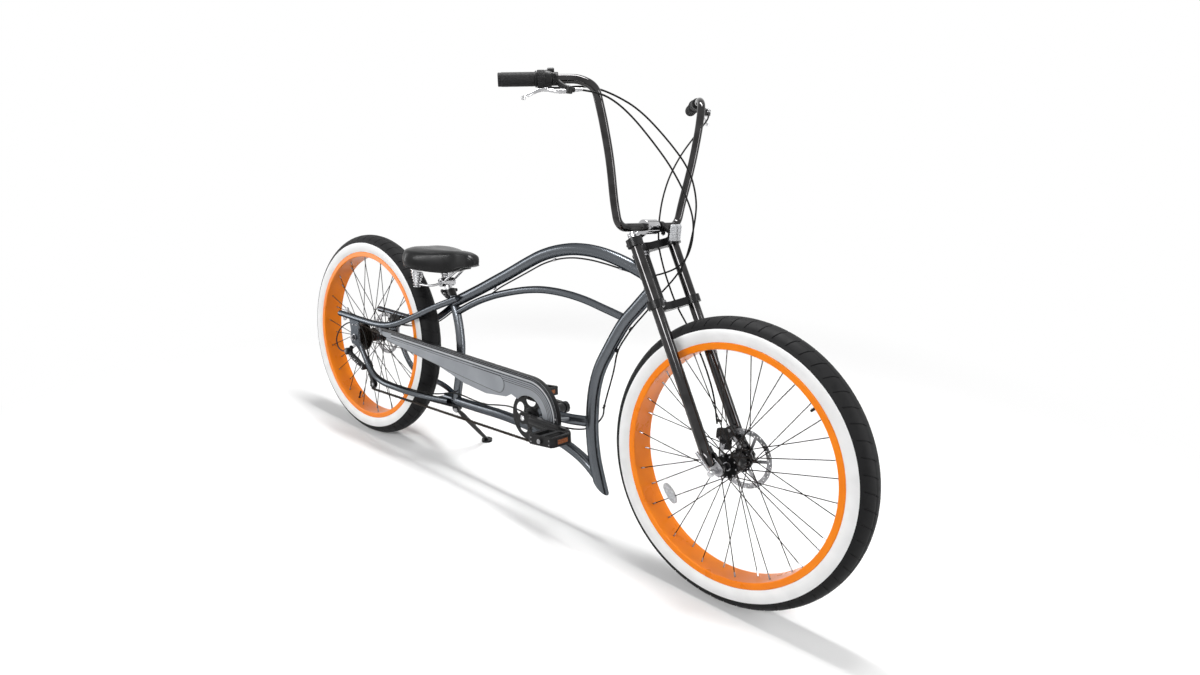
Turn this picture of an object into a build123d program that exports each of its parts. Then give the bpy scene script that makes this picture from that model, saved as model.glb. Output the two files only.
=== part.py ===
"""Chopper cruiser bicycle, leaning to its left on its side stand.

Everything is drawn upright in the bicycle's own frame: X runs forward from the rear axle, Y to
the rider's left and Z up, with the middle of the bicycle on Y = 0 and both axles at axle_height.
The finished pieces are then leaned over and shifted, so that the tyres and the stand's foot
touch the floor at Z = 0 and the whole stands centred on the origin.
"""
import os
from math import asin, atan2, cos, hypot, pi, radians, sin, tan

from build123d import *

os.makedirs("parts", exist_ok=True)

# ------------------------------------------------------------ driving dimensions, mm
# stance
wheelbase = 1614.0
lean_deg = 6.92
touch_gap = 0.3  # left where a curved face meets another piece
shaft_gap = 0.05  # radial play of a shaft in its bore

# wheels, 622 mm bead seat
rim_edge_radius = 317.5
rim_width = 76.0
rim_depth = 18.5
rim_wall = 3.0
rim_bed = 4.0
tyre_section_radius = 42.0
tyre_wall = 5.0
tyre_radius = 380.0
bead_wide = 4.0
spoke_count = 36
spoke_diameter = 2.2
spoke_turn_deg = 60.0
nipple_y = 14.0
spoke_inner_clear = 0.1  # from the flange's face to a spoke
spoke_outer_clear = 1.3  # the same outside, where the spoke leans back over the flange's edge
flange_hole_radius = 27.0
flange_radius = 31.0
flange_thick = 3.2
rotor_radius = 80.0
rotor_track = 15.0
rotor_thick = 2.0
rotor_arm = 9.0
rotor_hub_radius = 24.0
rotor_y = 52.0
caliper_slot = 3.2
hub_flange_y = 31.0
hub_body_radius = 22.0
axle_radius = 5.0
collar_radius = 10.0
collar_gap = 0.4

# fork and steering
head_angle_deg = 59.8
fork_length = 606.6  # along the steering axis, from the head tube's top to the front axle
head_length = 150.0
head_radius = 21.0
steerer_radius = 14.3
bearing_radius = 24.0
bearing_thick = 7.0
leg_y = 82.0
leg_radius = 15.0
leg_front = 54.5
axle_front = 68.7
crown_thick = 21.0
crown_grow = 7.0
crown_arm = 34.0
leg_above = 1.0
fork_tip_y = 74.0
fork_tip_thick = 8.0

# rear hub and drive
dropout_y = 87.0
dropout_thick = 7.0
chain_pitch = 12.7
chain_y = -62.0
chain_height = 9.0
chain_width = 7.0
chain_slot = 3.6
chain_roof = 0.9
tooth_height = 2.5
tooth_root = 3.6
sprocket_teeth = (28, 24, 22, 20, 18, 16, 14)
sprocket_pitch = 5.0
sprocket_thick = 1.8
engaged_index = 3
sprocket_core_radius = 20.0
ring_teeth = 40
ring_thick = 2.4
pulley_radius = 16.0
pulley_thick = 3.0
guide_pulley_x = 56.0
guide_pulley_drop = 104.0
tension_pulley_x = 94.0
tension_pulley_drop = 164.0

# bottom bracket, cranks and pedals
bracket_x = 930.0
bracket_drop = 54.0
shell_radius = 22.0
shell_width = 92.0
spindle_radius = 8.5
cup_radius = 18.0
crank_length = 175.0
crank_angle_deg = 0.6
crank_y = 81.0
crank_thick = 14.0
crank_boss_radius = 19.0
crank_eye_radius = 13.0
pedal_tilt_deg = 8.0
pedal_gap = 17.0
pedal_width = 82.0
pedal_length = 98.0
pedal_height = 27.0
pedal_wall = 9.0
pedal_axle_radius = 7.0

# frame tubes
top_radius = 18.0
arch_radius = 11.0
down_radius = 19.0
seat_radius = 15.0
bottom_radius = 16.0
link_radius = 16.0
upper_stay_radius = 11.0
chain_stay_radius = 9.5
seat_top_x = 441.0
seat_top_rise = 244.0
seat_foot_x = 500.0
seat_foot_drop = 132.0
keel_back = 427.0  # the down tube's free tip, behind the front axle
keel_drop = 230.0
stay_tail = 103.0
stay_rise = 73.0
stay_width = 26.0
chain_stay_x = 42.0
chain_stay_drop = 28.0

# handlebar and saddle
bar_radius = 11.1
bar_ahead = 20.0
bar_rise = 74.0
bar_low_half = 127.0
grip_radius = 16.0
grip_length = 88.0
shifter_length = 34.0
perch_width = 8.0
barrel_radius = 5.0
barrel_length = 24.0
lever_radius = 4.5
post_radius = 12.7
post_length = 44.0
saddle_back = 159.0  # the saddle's rear, behind the seat tube's top
saddle_length = 277.0
saddle_rise = 69.0
saddle_half_width = 118.0
saddle_height = 74.0

# chain guard
guard_y = -72.0
guard_thick = 2.5
guard_flange_y = -57.5
guard_outer_radius = 126.0
guard_inner_radius = 66.0

# side stand
pivot_back = 38.0
pivot_y = 38.0
pivot_under = 43.0
foot_back = 38.0
foot_y = 219.0
foot_radius = 20.0
foot_thick = 9.0
leg_top_radius = 9.0
leg_foot_radius = 7.0
plate_thick = 9.0

stand_axis = Vector(-0.356, 0.894, 0.273).normalized()  # a turn about it folds the stand back

# cables
cable_radius = 2.4

# ------------------------------------------------------------ derived places
lean = radians(lean_deg)
head = radians(head_angle_deg)
up = Vector(0, -sin(lean), cos(lean))
along = Vector(cos(head), 0, -sin(head))
ahead = Vector(sin(head), 0, cos(head))
left = Vector(0, 1, 0)
axle_height = tyre_radius
rear_axle = Vector(0, 0, axle_height)
front_axle = Vector(wheelbase, 0, axle_height)
head_top = front_axle - along * fork_length - ahead * axle_front
head_bottom = head_top + along * head_length
bracket_z = axle_height - bracket_drop
bracket = Vector(bracket_x, 0, bracket_z)
seat_top = Vector(seat_top_x, 0, axle_height + seat_top_rise)
seat_foot = Vector(seat_foot_x, 0, axle_height - seat_foot_drop)
keel = Vector(wheelbase - keel_back, 0, axle_height - keel_drop)
pivot = seat_foot + Vector(-pivot_back, pivot_y, -pivot_under)
guide_pulley = (guide_pulley_x, axle_height - guide_pulley_drop)
tension_pulley = (tension_pulley_x, axle_height - tension_pulley_drop)

section_radius = tyre_radius - tyre_section_radius
floor_level = axle_height * cos(lean) - section_radius * cos(lean) - tyre_section_radius
rim_inner_radius = rim_edge_radius - rim_depth
first_sprocket_y = chain_y + engaged_index * sprocket_pitch


def pitch_radius(teeth):
    return chain_pitch / (2 * sin(pi / teeth))


pieces = {}


def keep(part, name):
    """Label a finished piece and put it on the list that is leaned over and written."""
    part.label = name
    pieces[name] = part


def side_plane(centre, y=0.0):
    """A plane facing the rider's left, with local x forward and local y up."""
    return Plane(origin=(centre.X, y, centre.Z), x_dir=(1, 0, 0), z_dir=(0, -1, 0))


def wheel_plane(centre):
    """The plane of a wheel's section: local x is the bicycle's Y, local y its Z."""
    return Plane(origin=centre, x_dir=(0, 1, 0), z_dir=(1, 0, 0))


def corner_radii(corners):
    """The largest fillet that each corner's two runs allow."""
    radii = []
    for before, corner, after in zip(corners, corners[1:], corners[2:]):
        turn = radians((corner - before).get_angle(after - corner))
        shorter = min((corner - before).length, (after - corner).length)
        radii.append(0.45 * shorter / tan(turn / 2))
    return radii


def bent_tube(points, radius):
    """A round tube whose path is straight runs joined by tangent arcs."""
    corners = [Vector(*point) for point in points]
    with BuildPart() as tube:
        with BuildLine():
            path = FilletPolyline(*corners, radius=corner_radii(corners))
        with BuildSketch(Plane(origin=path @ 0, z_dir=path % 0)):
            Circle(radius)
        sweep()
    return tube.part


def curve(start, end, shape):
    """Points of a bent line from start to end.

    Each entry of the shape gives a point's share of the way, its rise off the straight line as
    a share of the line's length in the side view, and, where Y changes, its share of that.
    """
    run = Vector(end.X - start.X, 0, end.Z - start.Z)
    side = Vector(-run.Z, 0, run.X)
    middle = [
        start + run * entry[0] + side * entry[1] + left * (end.Y - start.Y) * entry[-1]
        for entry in shape
    ]
    return [start] + middle + [end]


def rod(start, end, radius):
    """A straight round bar between two points."""
    run = Vector(*end) - Vector(*start)
    with BuildPart(Plane(origin=start, z_dir=run)) as bar:
        Cylinder(radius, run.length, align=(Align.CENTER, Align.CENTER, Align.MIN))
    return bar.part


def cut(part, *others):
    """The piece with its neighbours' space taken away, as a coped tube end."""
    with BuildPart() as coped:
        add(part)
        for other in others:
            add(other, mode=Mode.SUBTRACT)
    return coped.part


def mirrored(part):
    with BuildPart() as other:
        add(mirror(part, about=Plane.XZ))
    return other.part


def both_sides(part):
    """The right piece and its mirror image on the left, as one node of separate solids."""
    with BuildPart() as pair:
        add(part)
        add(mirror(part, about=Plane.XZ))
    return pair.part


# ------------------------------------------------------------ wheels
def make_tyre(centre):
    bed = rim_inner_radius + rim_bed
    inner_half = rim_width / 2 - rim_wall
    with BuildPart() as tyre:
        with BuildSketch(wheel_plane(centre)):
            with Locations((0, section_radius)):
                Circle(tyre_section_radius)
                Circle(tyre_section_radius - tyre_wall, mode=Mode.SUBTRACT)
            with Locations((0, 0)):
                Rectangle(4 * tyre_section_radius, 2 * rim_edge_radius, mode=Mode.SUBTRACT)
            for side in (-1, 1):
                with BuildLine():
                    Polyline(
                        (side * inner_half, bed),
                        (side * inner_half, rim_edge_radius + 1),
                        (side * (inner_half - bead_wide), rim_edge_radius + 1),
                        (side * (inner_half - bead_wide), bed),
                        close=True,
                    )
                make_face()
        revolve(axis=Axis(centre, (0, 1, 0)))
    return tyre.part


def make_rim(centre):
    with BuildPart() as rim:
        with BuildSketch(wheel_plane(centre)) as profile:
            with Locations((0, rim_edge_radius - rim_depth / 2)):
                Rectangle(rim_width, rim_depth)
            fillet(profile.vertices().group_by(Axis.Z)[0], radius=rim_wall)
            with Locations((0, rim_inner_radius + rim_bed + rim_depth)):
                Rectangle(rim_width - 2 * rim_wall, 2 * rim_depth, mode=Mode.SUBTRACT)
        revolve(axis=Axis(centre, (0, 1, 0)))
    return rim.part


def make_spokes(centre):
    """Crossed spokes, each lying on a face of its hub flange."""
    face = flange_thick / 2 + spoke_diameter / 2
    per_side = spoke_count // 2
    step = 360 / per_side
    reach = rim_inner_radius + rim_bed / 2
    with BuildPart() as spokes:
        for side in (-1, 1):
            for index in range(per_side):
                lead = 1 if index % 2 else -1
                hub_angle = radians(index * step + (side + 1) * step / 4)
                rim_angle = hub_angle + lead * radians(spoke_turn_deg)
                clear = spoke_outer_clear if lead == side else spoke_inner_clear
                hub_y = side * hub_flange_y + lead * (face + clear)
                start = centre + Vector(
                    flange_hole_radius * cos(hub_angle), hub_y, flange_hole_radius * sin(hub_angle)
                )
                end = centre + Vector(reach * cos(rim_angle), side * nipple_y, reach * sin(rim_angle))
                with Locations(Plane(origin=start, z_dir=end - start).location):
                    Cylinder(
                        spoke_diameter / 2,
                        (end - start).length,
                        align=(Align.CENTER, Align.CENTER, Align.MIN),
                    )
    return spokes.part


def make_hub(centre, right_end, left_end, driver_radius=0.0, driver_inner=0.0):
    """A hub shell with two flanges, a rotor seat on the left and, behind, a sprocket driver."""
    bore = axle_radius + shaft_gap
    rotor_face = rotor_y - rotor_thick / 2
    with BuildPart() as hub:
        with BuildSketch(wheel_plane(centre)):
            for low, high, radius in (
                (right_end, left_end, axle_radius + 4),
                (-hub_flange_y, hub_flange_y, hub_body_radius),
                (-hub_flange_y - flange_thick / 2, -hub_flange_y + flange_thick / 2, flange_radius),
                (hub_flange_y - flange_thick / 2, hub_flange_y + flange_thick / 2, flange_radius),
                (hub_flange_y, rotor_face, rotor_hub_radius - 3),
            ):
                with Locations(((low + high) / 2, (bore + radius) / 2)):
                    Rectangle(high - low, radius - bore)
            if driver_radius:
                with Locations(((right_end + driver_inner) / 2, (bore + driver_radius) / 2)):
                    Rectangle(driver_inner - right_end, driver_radius - bore)
        revolve(axis=Axis(centre, (0, 1, 0)))
    return hub.part


def make_rotor(centre):
    ring_inner = rotor_radius - rotor_track
    arm_length = ring_inner - rotor_hub_radius + 6
    with BuildPart() as rotor:
        with BuildSketch(side_plane(centre, rotor_y - rotor_thick / 2)):
            Circle(rotor_radius)
            Circle(ring_inner, mode=Mode.SUBTRACT)
            Circle(rotor_hub_radius)
            with PolarLocations(rotor_hub_radius - 3 + arm_length / 2, 6):
                Rectangle(arm_length, rotor_arm)
            Circle(axle_radius + 4 + touch_gap, mode=Mode.SUBTRACT)
        extrude(amount=-rotor_thick)
    return rotor.part


def make_axle(centre, hub_right, hub_left, support_right, support_left, nut_out):
    """An axle through hub and supports, with collars beside the hub and nuts outside."""
    with BuildPart() as axle:
        with BuildSketch(wheel_plane(centre)):
            low = support_right[0] - nut_out - 4
            high = support_left[1] + nut_out + 4
            with Locations(((low + high) / 2, axle_radius / 2)):
                Rectangle(high - low, axle_radius)
            for start, end, radius in (
                (hub_left + collar_gap, support_left[0], collar_radius),
                (support_right[1], hub_right - collar_gap, collar_radius),
                (support_left[1], support_left[1] + nut_out, collar_radius),
                (support_right[0] - nut_out, support_right[0], collar_radius),
            ):
                with Locations(((start + end) / 2, radius / 2)):
                    Rectangle(end - start, radius)
        revolve(axis=Axis(centre, (0, 1, 0)))
    return axle.part


front_support_left = (fork_tip_y - fork_tip_thick / 2, fork_tip_y + fork_tip_thick / 2)
front_support_right = (-front_support_left[1], -front_support_left[0])
rear_support_left = (dropout_y - dropout_thick / 2, dropout_y + dropout_thick / 2)
rear_support_right = (-rear_support_left[1], -rear_support_left[0])
collar_length = 3.0
front_hub_end = front_support_left[0] - collar_length
rear_hub_end = rear_support_left[0] - collar_length
cassette_inner = first_sprocket_y + sprocket_thick
cassette_outer = first_sprocket_y - (len(sprocket_teeth) - 1) * sprocket_pitch - sprocket_thick

for name, centre in (("front", front_axle), ("rear", rear_axle)):
    keep(make_tyre(centre), name + "_tyre")
    keep(make_rim(centre), name + "_rim")
    keep(cut(make_spokes(centre), pieces[name + "_rim"]), name + "_spokes")
    keep(make_rotor(centre), name + "_brake_rotor")

keep(make_hub(front_axle, -front_hub_end, front_hub_end), "front_hub")
keep(
    make_hub(rear_axle, -rear_hub_end, rear_hub_end, sprocket_core_radius - 4, cassette_inner + 3),
    "rear_hub",
)
front_axle_piece = make_axle(
    front_axle, -front_hub_end, front_hub_end, front_support_right, front_support_left, 8
)
rear_axle_piece = make_axle(
    rear_axle, -rear_hub_end, rear_hub_end, rear_support_right, rear_support_left, 10
)
keep(rear_axle_piece, "rear_axle")


def toothed_disc(centre, y, teeth, thick, bore):
    """A flat chain wheel with tapered teeth."""
    radius = pitch_radius(teeth)
    root = radius - tooth_root
    tip = radius + tooth_height
    with BuildPart() as disc:
        with BuildSketch(side_plane(centre, y + thick / 2)):
            Circle(root + 0.5)
            with PolarLocations(0, teeth):
                with BuildLine():
                    Polyline(
                        (root, 0.28 * chain_pitch),
                        (radius, 0.17 * chain_pitch),
                        (tip, 0.08 * chain_pitch),
                        (tip, -0.08 * chain_pitch),
                        (radius, -0.17 * chain_pitch),
                        (root, -0.28 * chain_pitch),
                        close=True,
                    )
                make_face()
            if bore:
                Circle(bore, mode=Mode.SUBTRACT)
        extrude(amount=thick)
    return disc.part


with BuildPart() as cassette:
    with BuildSketch(side_plane(rear_axle, cassette_inner)):
        Circle(sprocket_core_radius)
        Circle(sprocket_core_radius - 4, mode=Mode.SUBTRACT)
    extrude(amount=cassette_inner - cassette_outer)
    for index, teeth in enumerate(sprocket_teeth):
        place = first_sprocket_y - index * sprocket_pitch
        add(toothed_disc(rear_axle, place, teeth, sprocket_thick, sprocket_core_radius - 1))
keep(cassette.part, "rear_sprockets")


# ------------------------------------------------------------ chain and derailleur
def polar_point(centre, radius, angle):
    return (centre[0] + radius * cos(angle), centre[1] + radius * sin(angle))


def outer_tangent(first, first_radius, second, second_radius, side):
    """Where a line touches two circles, both on the same side of it (side 1 is the left)."""
    run = atan2(second[1] - first[1], second[0] - first[0])
    gap = hypot(second[0] - first[0], second[1] - first[1])
    angle = run + side * (pi / 2 - asin((second_radius - first_radius) / gap))
    return polar_point(first, first_radius, angle), polar_point(second, second_radius, angle)


def inner_tangent(first, first_radius, second, second_radius, side):
    """Where a line touches two circles and crosses between them."""
    run = atan2(second[1] - first[1], second[0] - first[0])
    gap = hypot(second[0] - first[0], second[1] - first[1])
    tilt = asin((first_radius + second_radius) / gap)
    angle = run + side * (pi / 2 - tilt)
    return polar_point(first, first_radius, angle), polar_point(second, second_radius, angle + pi)


engaged_radius = pitch_radius(sprocket_teeth[engaged_index])
ring_radius = pitch_radius(ring_teeth)
pulley_path_radius = pulley_radius + chain_height / 2 + touch_gap
rear_centre = (rear_axle.X, rear_axle.Z)
ring_centre = (bracket_x, bracket_z)

# the chain's run, clockwise as seen from the right: sprocket, chainring, tension and guide pulley
upper_rear, upper_front = outer_tangent(rear_centre, engaged_radius, ring_centre, ring_radius, 1)
lower_front, lower_rear = outer_tangent(
    ring_centre, ring_radius, tension_pulley, pulley_path_radius, 1
)
tension_out, guide_in = inner_tangent(
    tension_pulley, pulley_path_radius, guide_pulley, pulley_path_radius, 1
)
guide_out, engaged_in = inner_tangent(
    guide_pulley, pulley_path_radius, rear_centre, engaged_radius, -1
)


def arc_middle(centre, radius, start, end, clockwise=True):
    """The middle point of the arc that runs from start to end round a centre."""
    first = atan2(start[1] - centre[1], start[0] - centre[0])
    last = atan2(end[1] - centre[1], end[0] - centre[0])
    if clockwise:
        while last > first:
            last -= 2 * pi
    else:
        while last < first:
            last += 2 * pi
    return polar_point(centre, radius, (first + last) / 2)


def chain_loop():
    """The edges of the loop's centre line, in the side view."""
    with BuildLine() as loop:
        Line(upper_rear, upper_front)
        ThreePointArc(
            upper_front, arc_middle(ring_centre, ring_radius, upper_front, lower_front), lower_front
        )
        Line(lower_front, lower_rear)
        ThreePointArc(
            lower_rear,
            arc_middle(tension_pulley, pulley_path_radius, lower_rear, tension_out),
            tension_out,
        )
        Line(tension_out, guide_in)
        ThreePointArc(
            guide_in,
            arc_middle(guide_pulley, pulley_path_radius, guide_in, guide_out, False),
            guide_out,
        )
        Line(guide_out, engaged_in)
        ThreePointArc(
            engaged_in,
            arc_middle(rear_centre, engaged_radius, engaged_in, upper_rear),
            upper_rear,
        )
    return loop.edges()


def chain_band(low, high, width):
    """A band along the loop, from low to high of its centre line and as wide as given."""
    plane = Plane(origin=(0, chain_y + width / 2, 0), x_dir=(1, 0, 0), z_dir=(0, -1, 0))
    with BuildPart() as band:
        with BuildSketch(plane):
            make_face(chain_loop())
            offset(amount=high)
        extrude(amount=width)
        with BuildSketch(plane):
            make_face(chain_loop())
            offset(amount=low)
        extrude(amount=width, mode=Mode.SUBTRACT)
    return band.part


half_height = chain_height / 2
keep(
    cut(
        chain_band(-half_height, half_height, chain_width),
        chain_band(-half_height - 1, half_height - chain_roof, chain_slot),
    ),
    "chain",
)


# ------------------------------------------------------------ frame
def disc(centre, y, radius, thick):
    """A flat round plate facing left, its right face at y."""
    with BuildPart(side_plane(centre, y + thick)) as plate:
        Cylinder(radius, thick, align=(Align.CENTER, Align.CENTER, Align.MIN))
    return plate.part


with BuildPart(Plane(origin=head_top, z_dir=along)) as head_tube:
    Cylinder(head_radius, head_length, align=(Align.CENTER, Align.CENTER, Align.MIN))
    for end in (0, head_length - bearing_thick):
        with Locations((0, 0, end)):
            Cylinder(bearing_radius, bearing_thick, align=(Align.CENTER, Align.CENTER, Align.MIN))
    Cylinder(
        steerer_radius + shaft_gap,
        head_length,
        align=(Align.CENTER, Align.CENTER, Align.MIN),
        mode=Mode.SUBTRACT,
    )
keep(head_tube.part, "head_tube")
head_blank = rod(head_top, head_bottom, head_radius)

shell_blank = disc(bracket, -shell_width / 2, shell_radius, shell_width)
shell = cut(shell_blank, disc(bracket, -shell_width / 2, cup_radius, shell_width))

down_shape = (
    (0.1, -0.0545),
    (0.2, -0.1075),
    (0.343, -0.153),
    (0.453, -0.1785),
    (0.562, -0.179),
    (0.678, -0.1585),
    (0.78, -0.127),
    (0.883, -0.0775),
)
down_line = curve(head_bottom - along * 44, keel, down_shape)
down_tube = cut(bent_tube(down_line, down_radius), head_blank)
keep(down_tube, "down_tube")

seat_shape = (
    (0.0864, 0.0423),
    (0.1966, 0.0835),
    (0.3471, 0.1104),
    (0.5073, 0.1145),
    (0.6631, 0.0901),
    (0.8038, 0.0547),
)
bottom_shape = (
    (0.124, 0.0168),
    (0.243, 0.0334),
    (0.381, 0.0566),
    (0.513, 0.0695),
    (0.6535, 0.0775),
    (0.7995, 0.0741),
    (0.9085, 0.0499),
)
bottom_line = curve(
    seat_foot - Vector(56, 0, 2), keel + Vector(-8, 0, 2 * bottom_radius), bottom_shape
)
seat_tube = bent_tube(curve(seat_top, seat_foot, seat_shape), seat_radius)
bottom_tube = cut(bent_tube(bottom_line, bottom_radius), down_tube)
seat_tube = cut(seat_tube, bottom_tube)
keep(seat_tube, "seat_tube")
keep(bottom_tube, "bottom_tube")

top_shape = (
    (0.0791, 0.0171),
    (0.1607, 0.0347),
    (0.2524, 0.057),
    (0.3505, 0.0801),
    (0.4322, 0.1027),
    (0.5224, 0.1242),
    (0.6013, 0.1314),
    (0.6811, 0.1284),
    (0.7521, 0.1154),
    (0.8185, 0.095),
    (0.8839, 0.0661),
    (0.9446, 0.0336),
)
top_line = curve(seat_top + Vector(33, 0, -30), head_top + along * 65, top_shape)
top_tube = cut(bent_tube(top_line, top_radius), head_blank, seat_tube)
keep(top_tube, "top_tube")

arch_shape = (
    (0.0802, 0.0305),
    (0.1581, 0.0558),
    (0.2591, 0.0801),
    (0.3628, 0.0958),
    (0.4574, 0.1061),
    (0.5494, 0.1086),
    (0.6382, 0.1008),
    (0.722, 0.0869),
    (0.8034, 0.0667),
    (0.881, 0.0402),
    (0.9328, 0.0234),
)
arch_line = curve(seat_top + Vector(49, 0, -62), head_bottom - ahead * 118, arch_shape)
arch_tube = cut(bent_tube(arch_line, arch_radius), down_tube, seat_tube)
keep(arch_tube, "arch_tube")

link_shape = ((0.2976, -0.0187), (0.5718, -0.0243))
link_end = down_line[6] + Vector(2, 0, -20)
link_tube = cut(
    bent_tube(curve(bracket, link_end, link_shape), link_radius), shell_blank, down_tube
)
keep(link_tube, "bracket_tube")

with BuildPart() as bracket_post:
    with BuildSketch(side_plane(bracket, 5)):
        with Locations((0, -45)):
            Trapezoid(70, 60, 75)
    extrude(amount=10)
with BuildPart() as shell_and_post:
    add(cut(bracket_post.part, shell_blank, bottom_tube))
    add(shell)
keep(shell_and_post.part, "bottom_bracket_shell")

stay_shape = (
    (0.2303, -0.0578, 0.0),
    (0.3511, -0.0866, 0.0),
    (0.4671, -0.1029, 0.016),
    (0.5813, -0.0962, 0.111),
    (0.7014, -0.067, 0.397),
    (0.8226, -0.0333, 0.714),
)
stay_line = curve(
    rear_axle + Vector(-stay_tail, -dropout_y, stay_rise),
    seat_top + Vector(72, -stay_width + 2, -9),
    stay_shape,
)
upper_stay = cut(bent_tube(stay_line, upper_stay_radius), top_tube, seat_tube)
keep(both_sides(upper_stay), "upper_stays")

chain_stay_shape = (
    (0.0738, -0.0598, 0.0),
    (0.1509, -0.1142, 0.0),
    (0.2475, -0.1547, 0.0),
    (0.3649, -0.1491, 0.0),
    (0.49, -0.1189, 0.0),
    (0.6323, -0.0844, 0.077),
    (0.7622, -0.0553, 0.292),
    (0.8814, -0.0287, 0.631),
)
chain_stay_line = curve(
    rear_axle + Vector(chain_stay_x, -dropout_y, -chain_stay_drop),
    seat_foot + Vector(-20, -22, -2),
    chain_stay_shape,
)
chain_stay = cut(bent_tube(chain_stay_line, chain_stay_radius), bottom_tube)
keep(both_sides(chain_stay), "chain_stays")

with BuildPart() as dropout:
    with BuildSketch(side_plane(rear_axle, -rear_support_left[0])) as outline:
        with BuildLine():
            Polyline((-36, 66), (28, 68), (26, 36), (30, -12), (50, -34), (36, -46), (12, -30))
            Polyline((12, -30), (-14, -26), (-26, -8), (-24, 24), (-36, 66))
        make_face()
        fillet(outline.vertices().sort_by(Axis.Z)[1:4], radius=3)
        Circle(axle_radius + shaft_gap, mode=Mode.SUBTRACT)
    extrude(amount=dropout_thick)
keep(both_sides(cut(dropout.part, upper_stay, chain_stay)), "dropouts")


# ------------------------------------------------------------ fork and steering
upper_crown_at = head_top - along * (crown_thick / 2 + collar_gap)
lower_crown_at = head_bottom + along * (crown_thick / 2 + collar_gap)
leg_top = upper_crown_at + ahead * leg_front - along * (crown_thick / 2 + leg_above)
leg_run = (front_axle - leg_top).dot(along) - 18
leg_end = leg_top + along * leg_run


def make_crown(centre):
    """A flat crown: a boss round the steerer and arms to both legs."""
    with BuildPart() as crown:
        with BuildSketch(Plane(origin=centre, x_dir=ahead, z_dir=along)):
            for side in (-1, 1):
                with BuildLine():
                    Polyline(
                        (-steerer_radius - crown_grow, 0),
                        (-steerer_radius, side * 16),
                        (leg_front - crown_arm / 2, side * leg_y),
                        (leg_front + crown_arm / 2, side * leg_y),
                        (steerer_radius + crown_grow + 6, side * 22),
                        (steerer_radius + crown_grow + 4, 0),
                        close=True,
                    )
                make_face()
                with Locations((leg_front, side * leg_y)):
                    Circle(leg_radius + crown_grow)
            Circle(steerer_radius + crown_grow)
        extrude(amount=crown_thick / 2, both=True)
        for side in (-1, 1):
            with Locations(Plane(origin=centre + ahead * leg_front + left * side * leg_y, z_dir=along)):
                Cylinder(leg_radius, 2 * crown_thick, mode=Mode.SUBTRACT)
        with Locations(Plane(origin=centre, z_dir=along)):
            Cylinder(steerer_radius, 2 * crown_thick, mode=Mode.SUBTRACT)
    return crown.part


with BuildPart() as crowns:
    add(make_crown(upper_crown_at))
    add(make_crown(lower_crown_at))
keep(crowns.part, "fork_crowns")
steerer_top = upper_crown_at - along * (crown_thick / 2 + 14)
steerer_end = lower_crown_at + along * (crown_thick / 2 + 2)
keep(rod(steerer_top, steerer_end, steerer_radius), "steerer")

leg = rod(leg_top + left * -leg_y, leg_end + left * -leg_y, leg_radius)
tip_face = front_support_right[1]
with BuildPart() as fork_tip:
    with BuildSketch(side_plane(front_axle, tip_face)):
        with BuildLine():
            Polyline((-15, 40), (16, 12), (16, -12), (4, -17), (-36, 12), (-40, 46), close=True)
        make_face()
        Circle(axle_radius + shaft_gap, mode=Mode.SUBTRACT)
    extrude(amount=fork_tip_thick)
with BuildPart() as fork_leg:
    add(leg)
    add(fork_tip.part)
keep(both_sides(fork_leg.part), "fork_legs")

with BuildPart() as lever:
    add(front_axle_piece)
    lever_root = front_axle + left * (front_support_right[0] - 30)
    add(rod(front_axle + left * front_support_right[0], lever_root + left * -5, 7))
    add(rod(lever_root, lever_root + Vector(-46, -4, 43), 4.5))
keep(lever.part, "front_axle")


def make_caliper(centre, angle_deg):
    """A disc brake caliper astride the rotor: its long side lies along the rotor's edge."""
    tangent = (cos(radians(angle_deg)), 0, sin(radians(angle_deg)))
    with BuildPart() as caliper:
        with BuildSketch(Plane(origin=centre + left * 14, x_dir=tangent, z_dir=(0, -1, 0))):
            RectangleRounded(50, 30, 7)
        extrude(amount=28)
        slot = Plane(origin=centre + left * caliper_slot / 2, x_dir=tangent, z_dir=(0, -1, 0))
        with BuildSketch(slot):
            with Locations((0, -5)):
                Rectangle(60, 30)
        extrude(amount=caliper_slot, mode=Mode.SUBTRACT)
    return caliper.part


front_caliper_at = front_axle + Vector(-58, rotor_y, 50)
rear_caliper_at = rear_axle + Vector(52, rotor_y, 58)
front_caliper = make_caliper(front_caliper_at, 49)
with BuildPart() as front_brake:
    add(front_caliper)
    with BuildSketch(side_plane(front_axle, rotor_y + 13.5)):
        with BuildLine():
            Polyline((-70, 62), (-40, 74), (-24, 50), (-46, 28), close=True)
        make_face()
    extrude(amount=-12)
    add(mirrored(leg), mode=Mode.SUBTRACT)
keep(front_brake.part, "front_brake_caliper")

# ------------------------------------------------------------ handlebar, stem and controls
bar_x = head_top.X + bar_ahead
bar_z = head_top.Z + bar_rise
bar_middle = Vector(bar_x, 0, bar_z)
bar_half = [
    bar_middle + Vector(0, bar_low_half, 0),
    bar_middle + Vector(-5, 146, 60),
    bar_middle + Vector(-5, 177, 171),
    bar_middle + Vector(-15, 207, 271),
    bar_middle + Vector(-27, 226, 335),
    bar_middle + Vector(-54, 254, 350),
    bar_middle + Vector(-97, 301, 344),
    bar_middle + Vector(-182, 393, 331),
]
bar_points = [Vector(point.X, -point.Y, point.Z) for point in reversed(bar_half)] + bar_half
handlebar = bent_tube(bar_points, bar_radius)
keep(handlebar, "handlebar")

bar_tip = bar_points[0]
grip_run = (bar_tip - bar_points[1]).normalized()
grip_front = Vector(0.523, -0.495, -0.69)


def on_bar(start, length, radius):
    """A sleeve on the right end of the bar, start being its outer end's distance from the tip."""
    outer = bar_tip - grip_run * start
    return cut(rod(outer, outer - grip_run * length, radius), handlebar)


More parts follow.
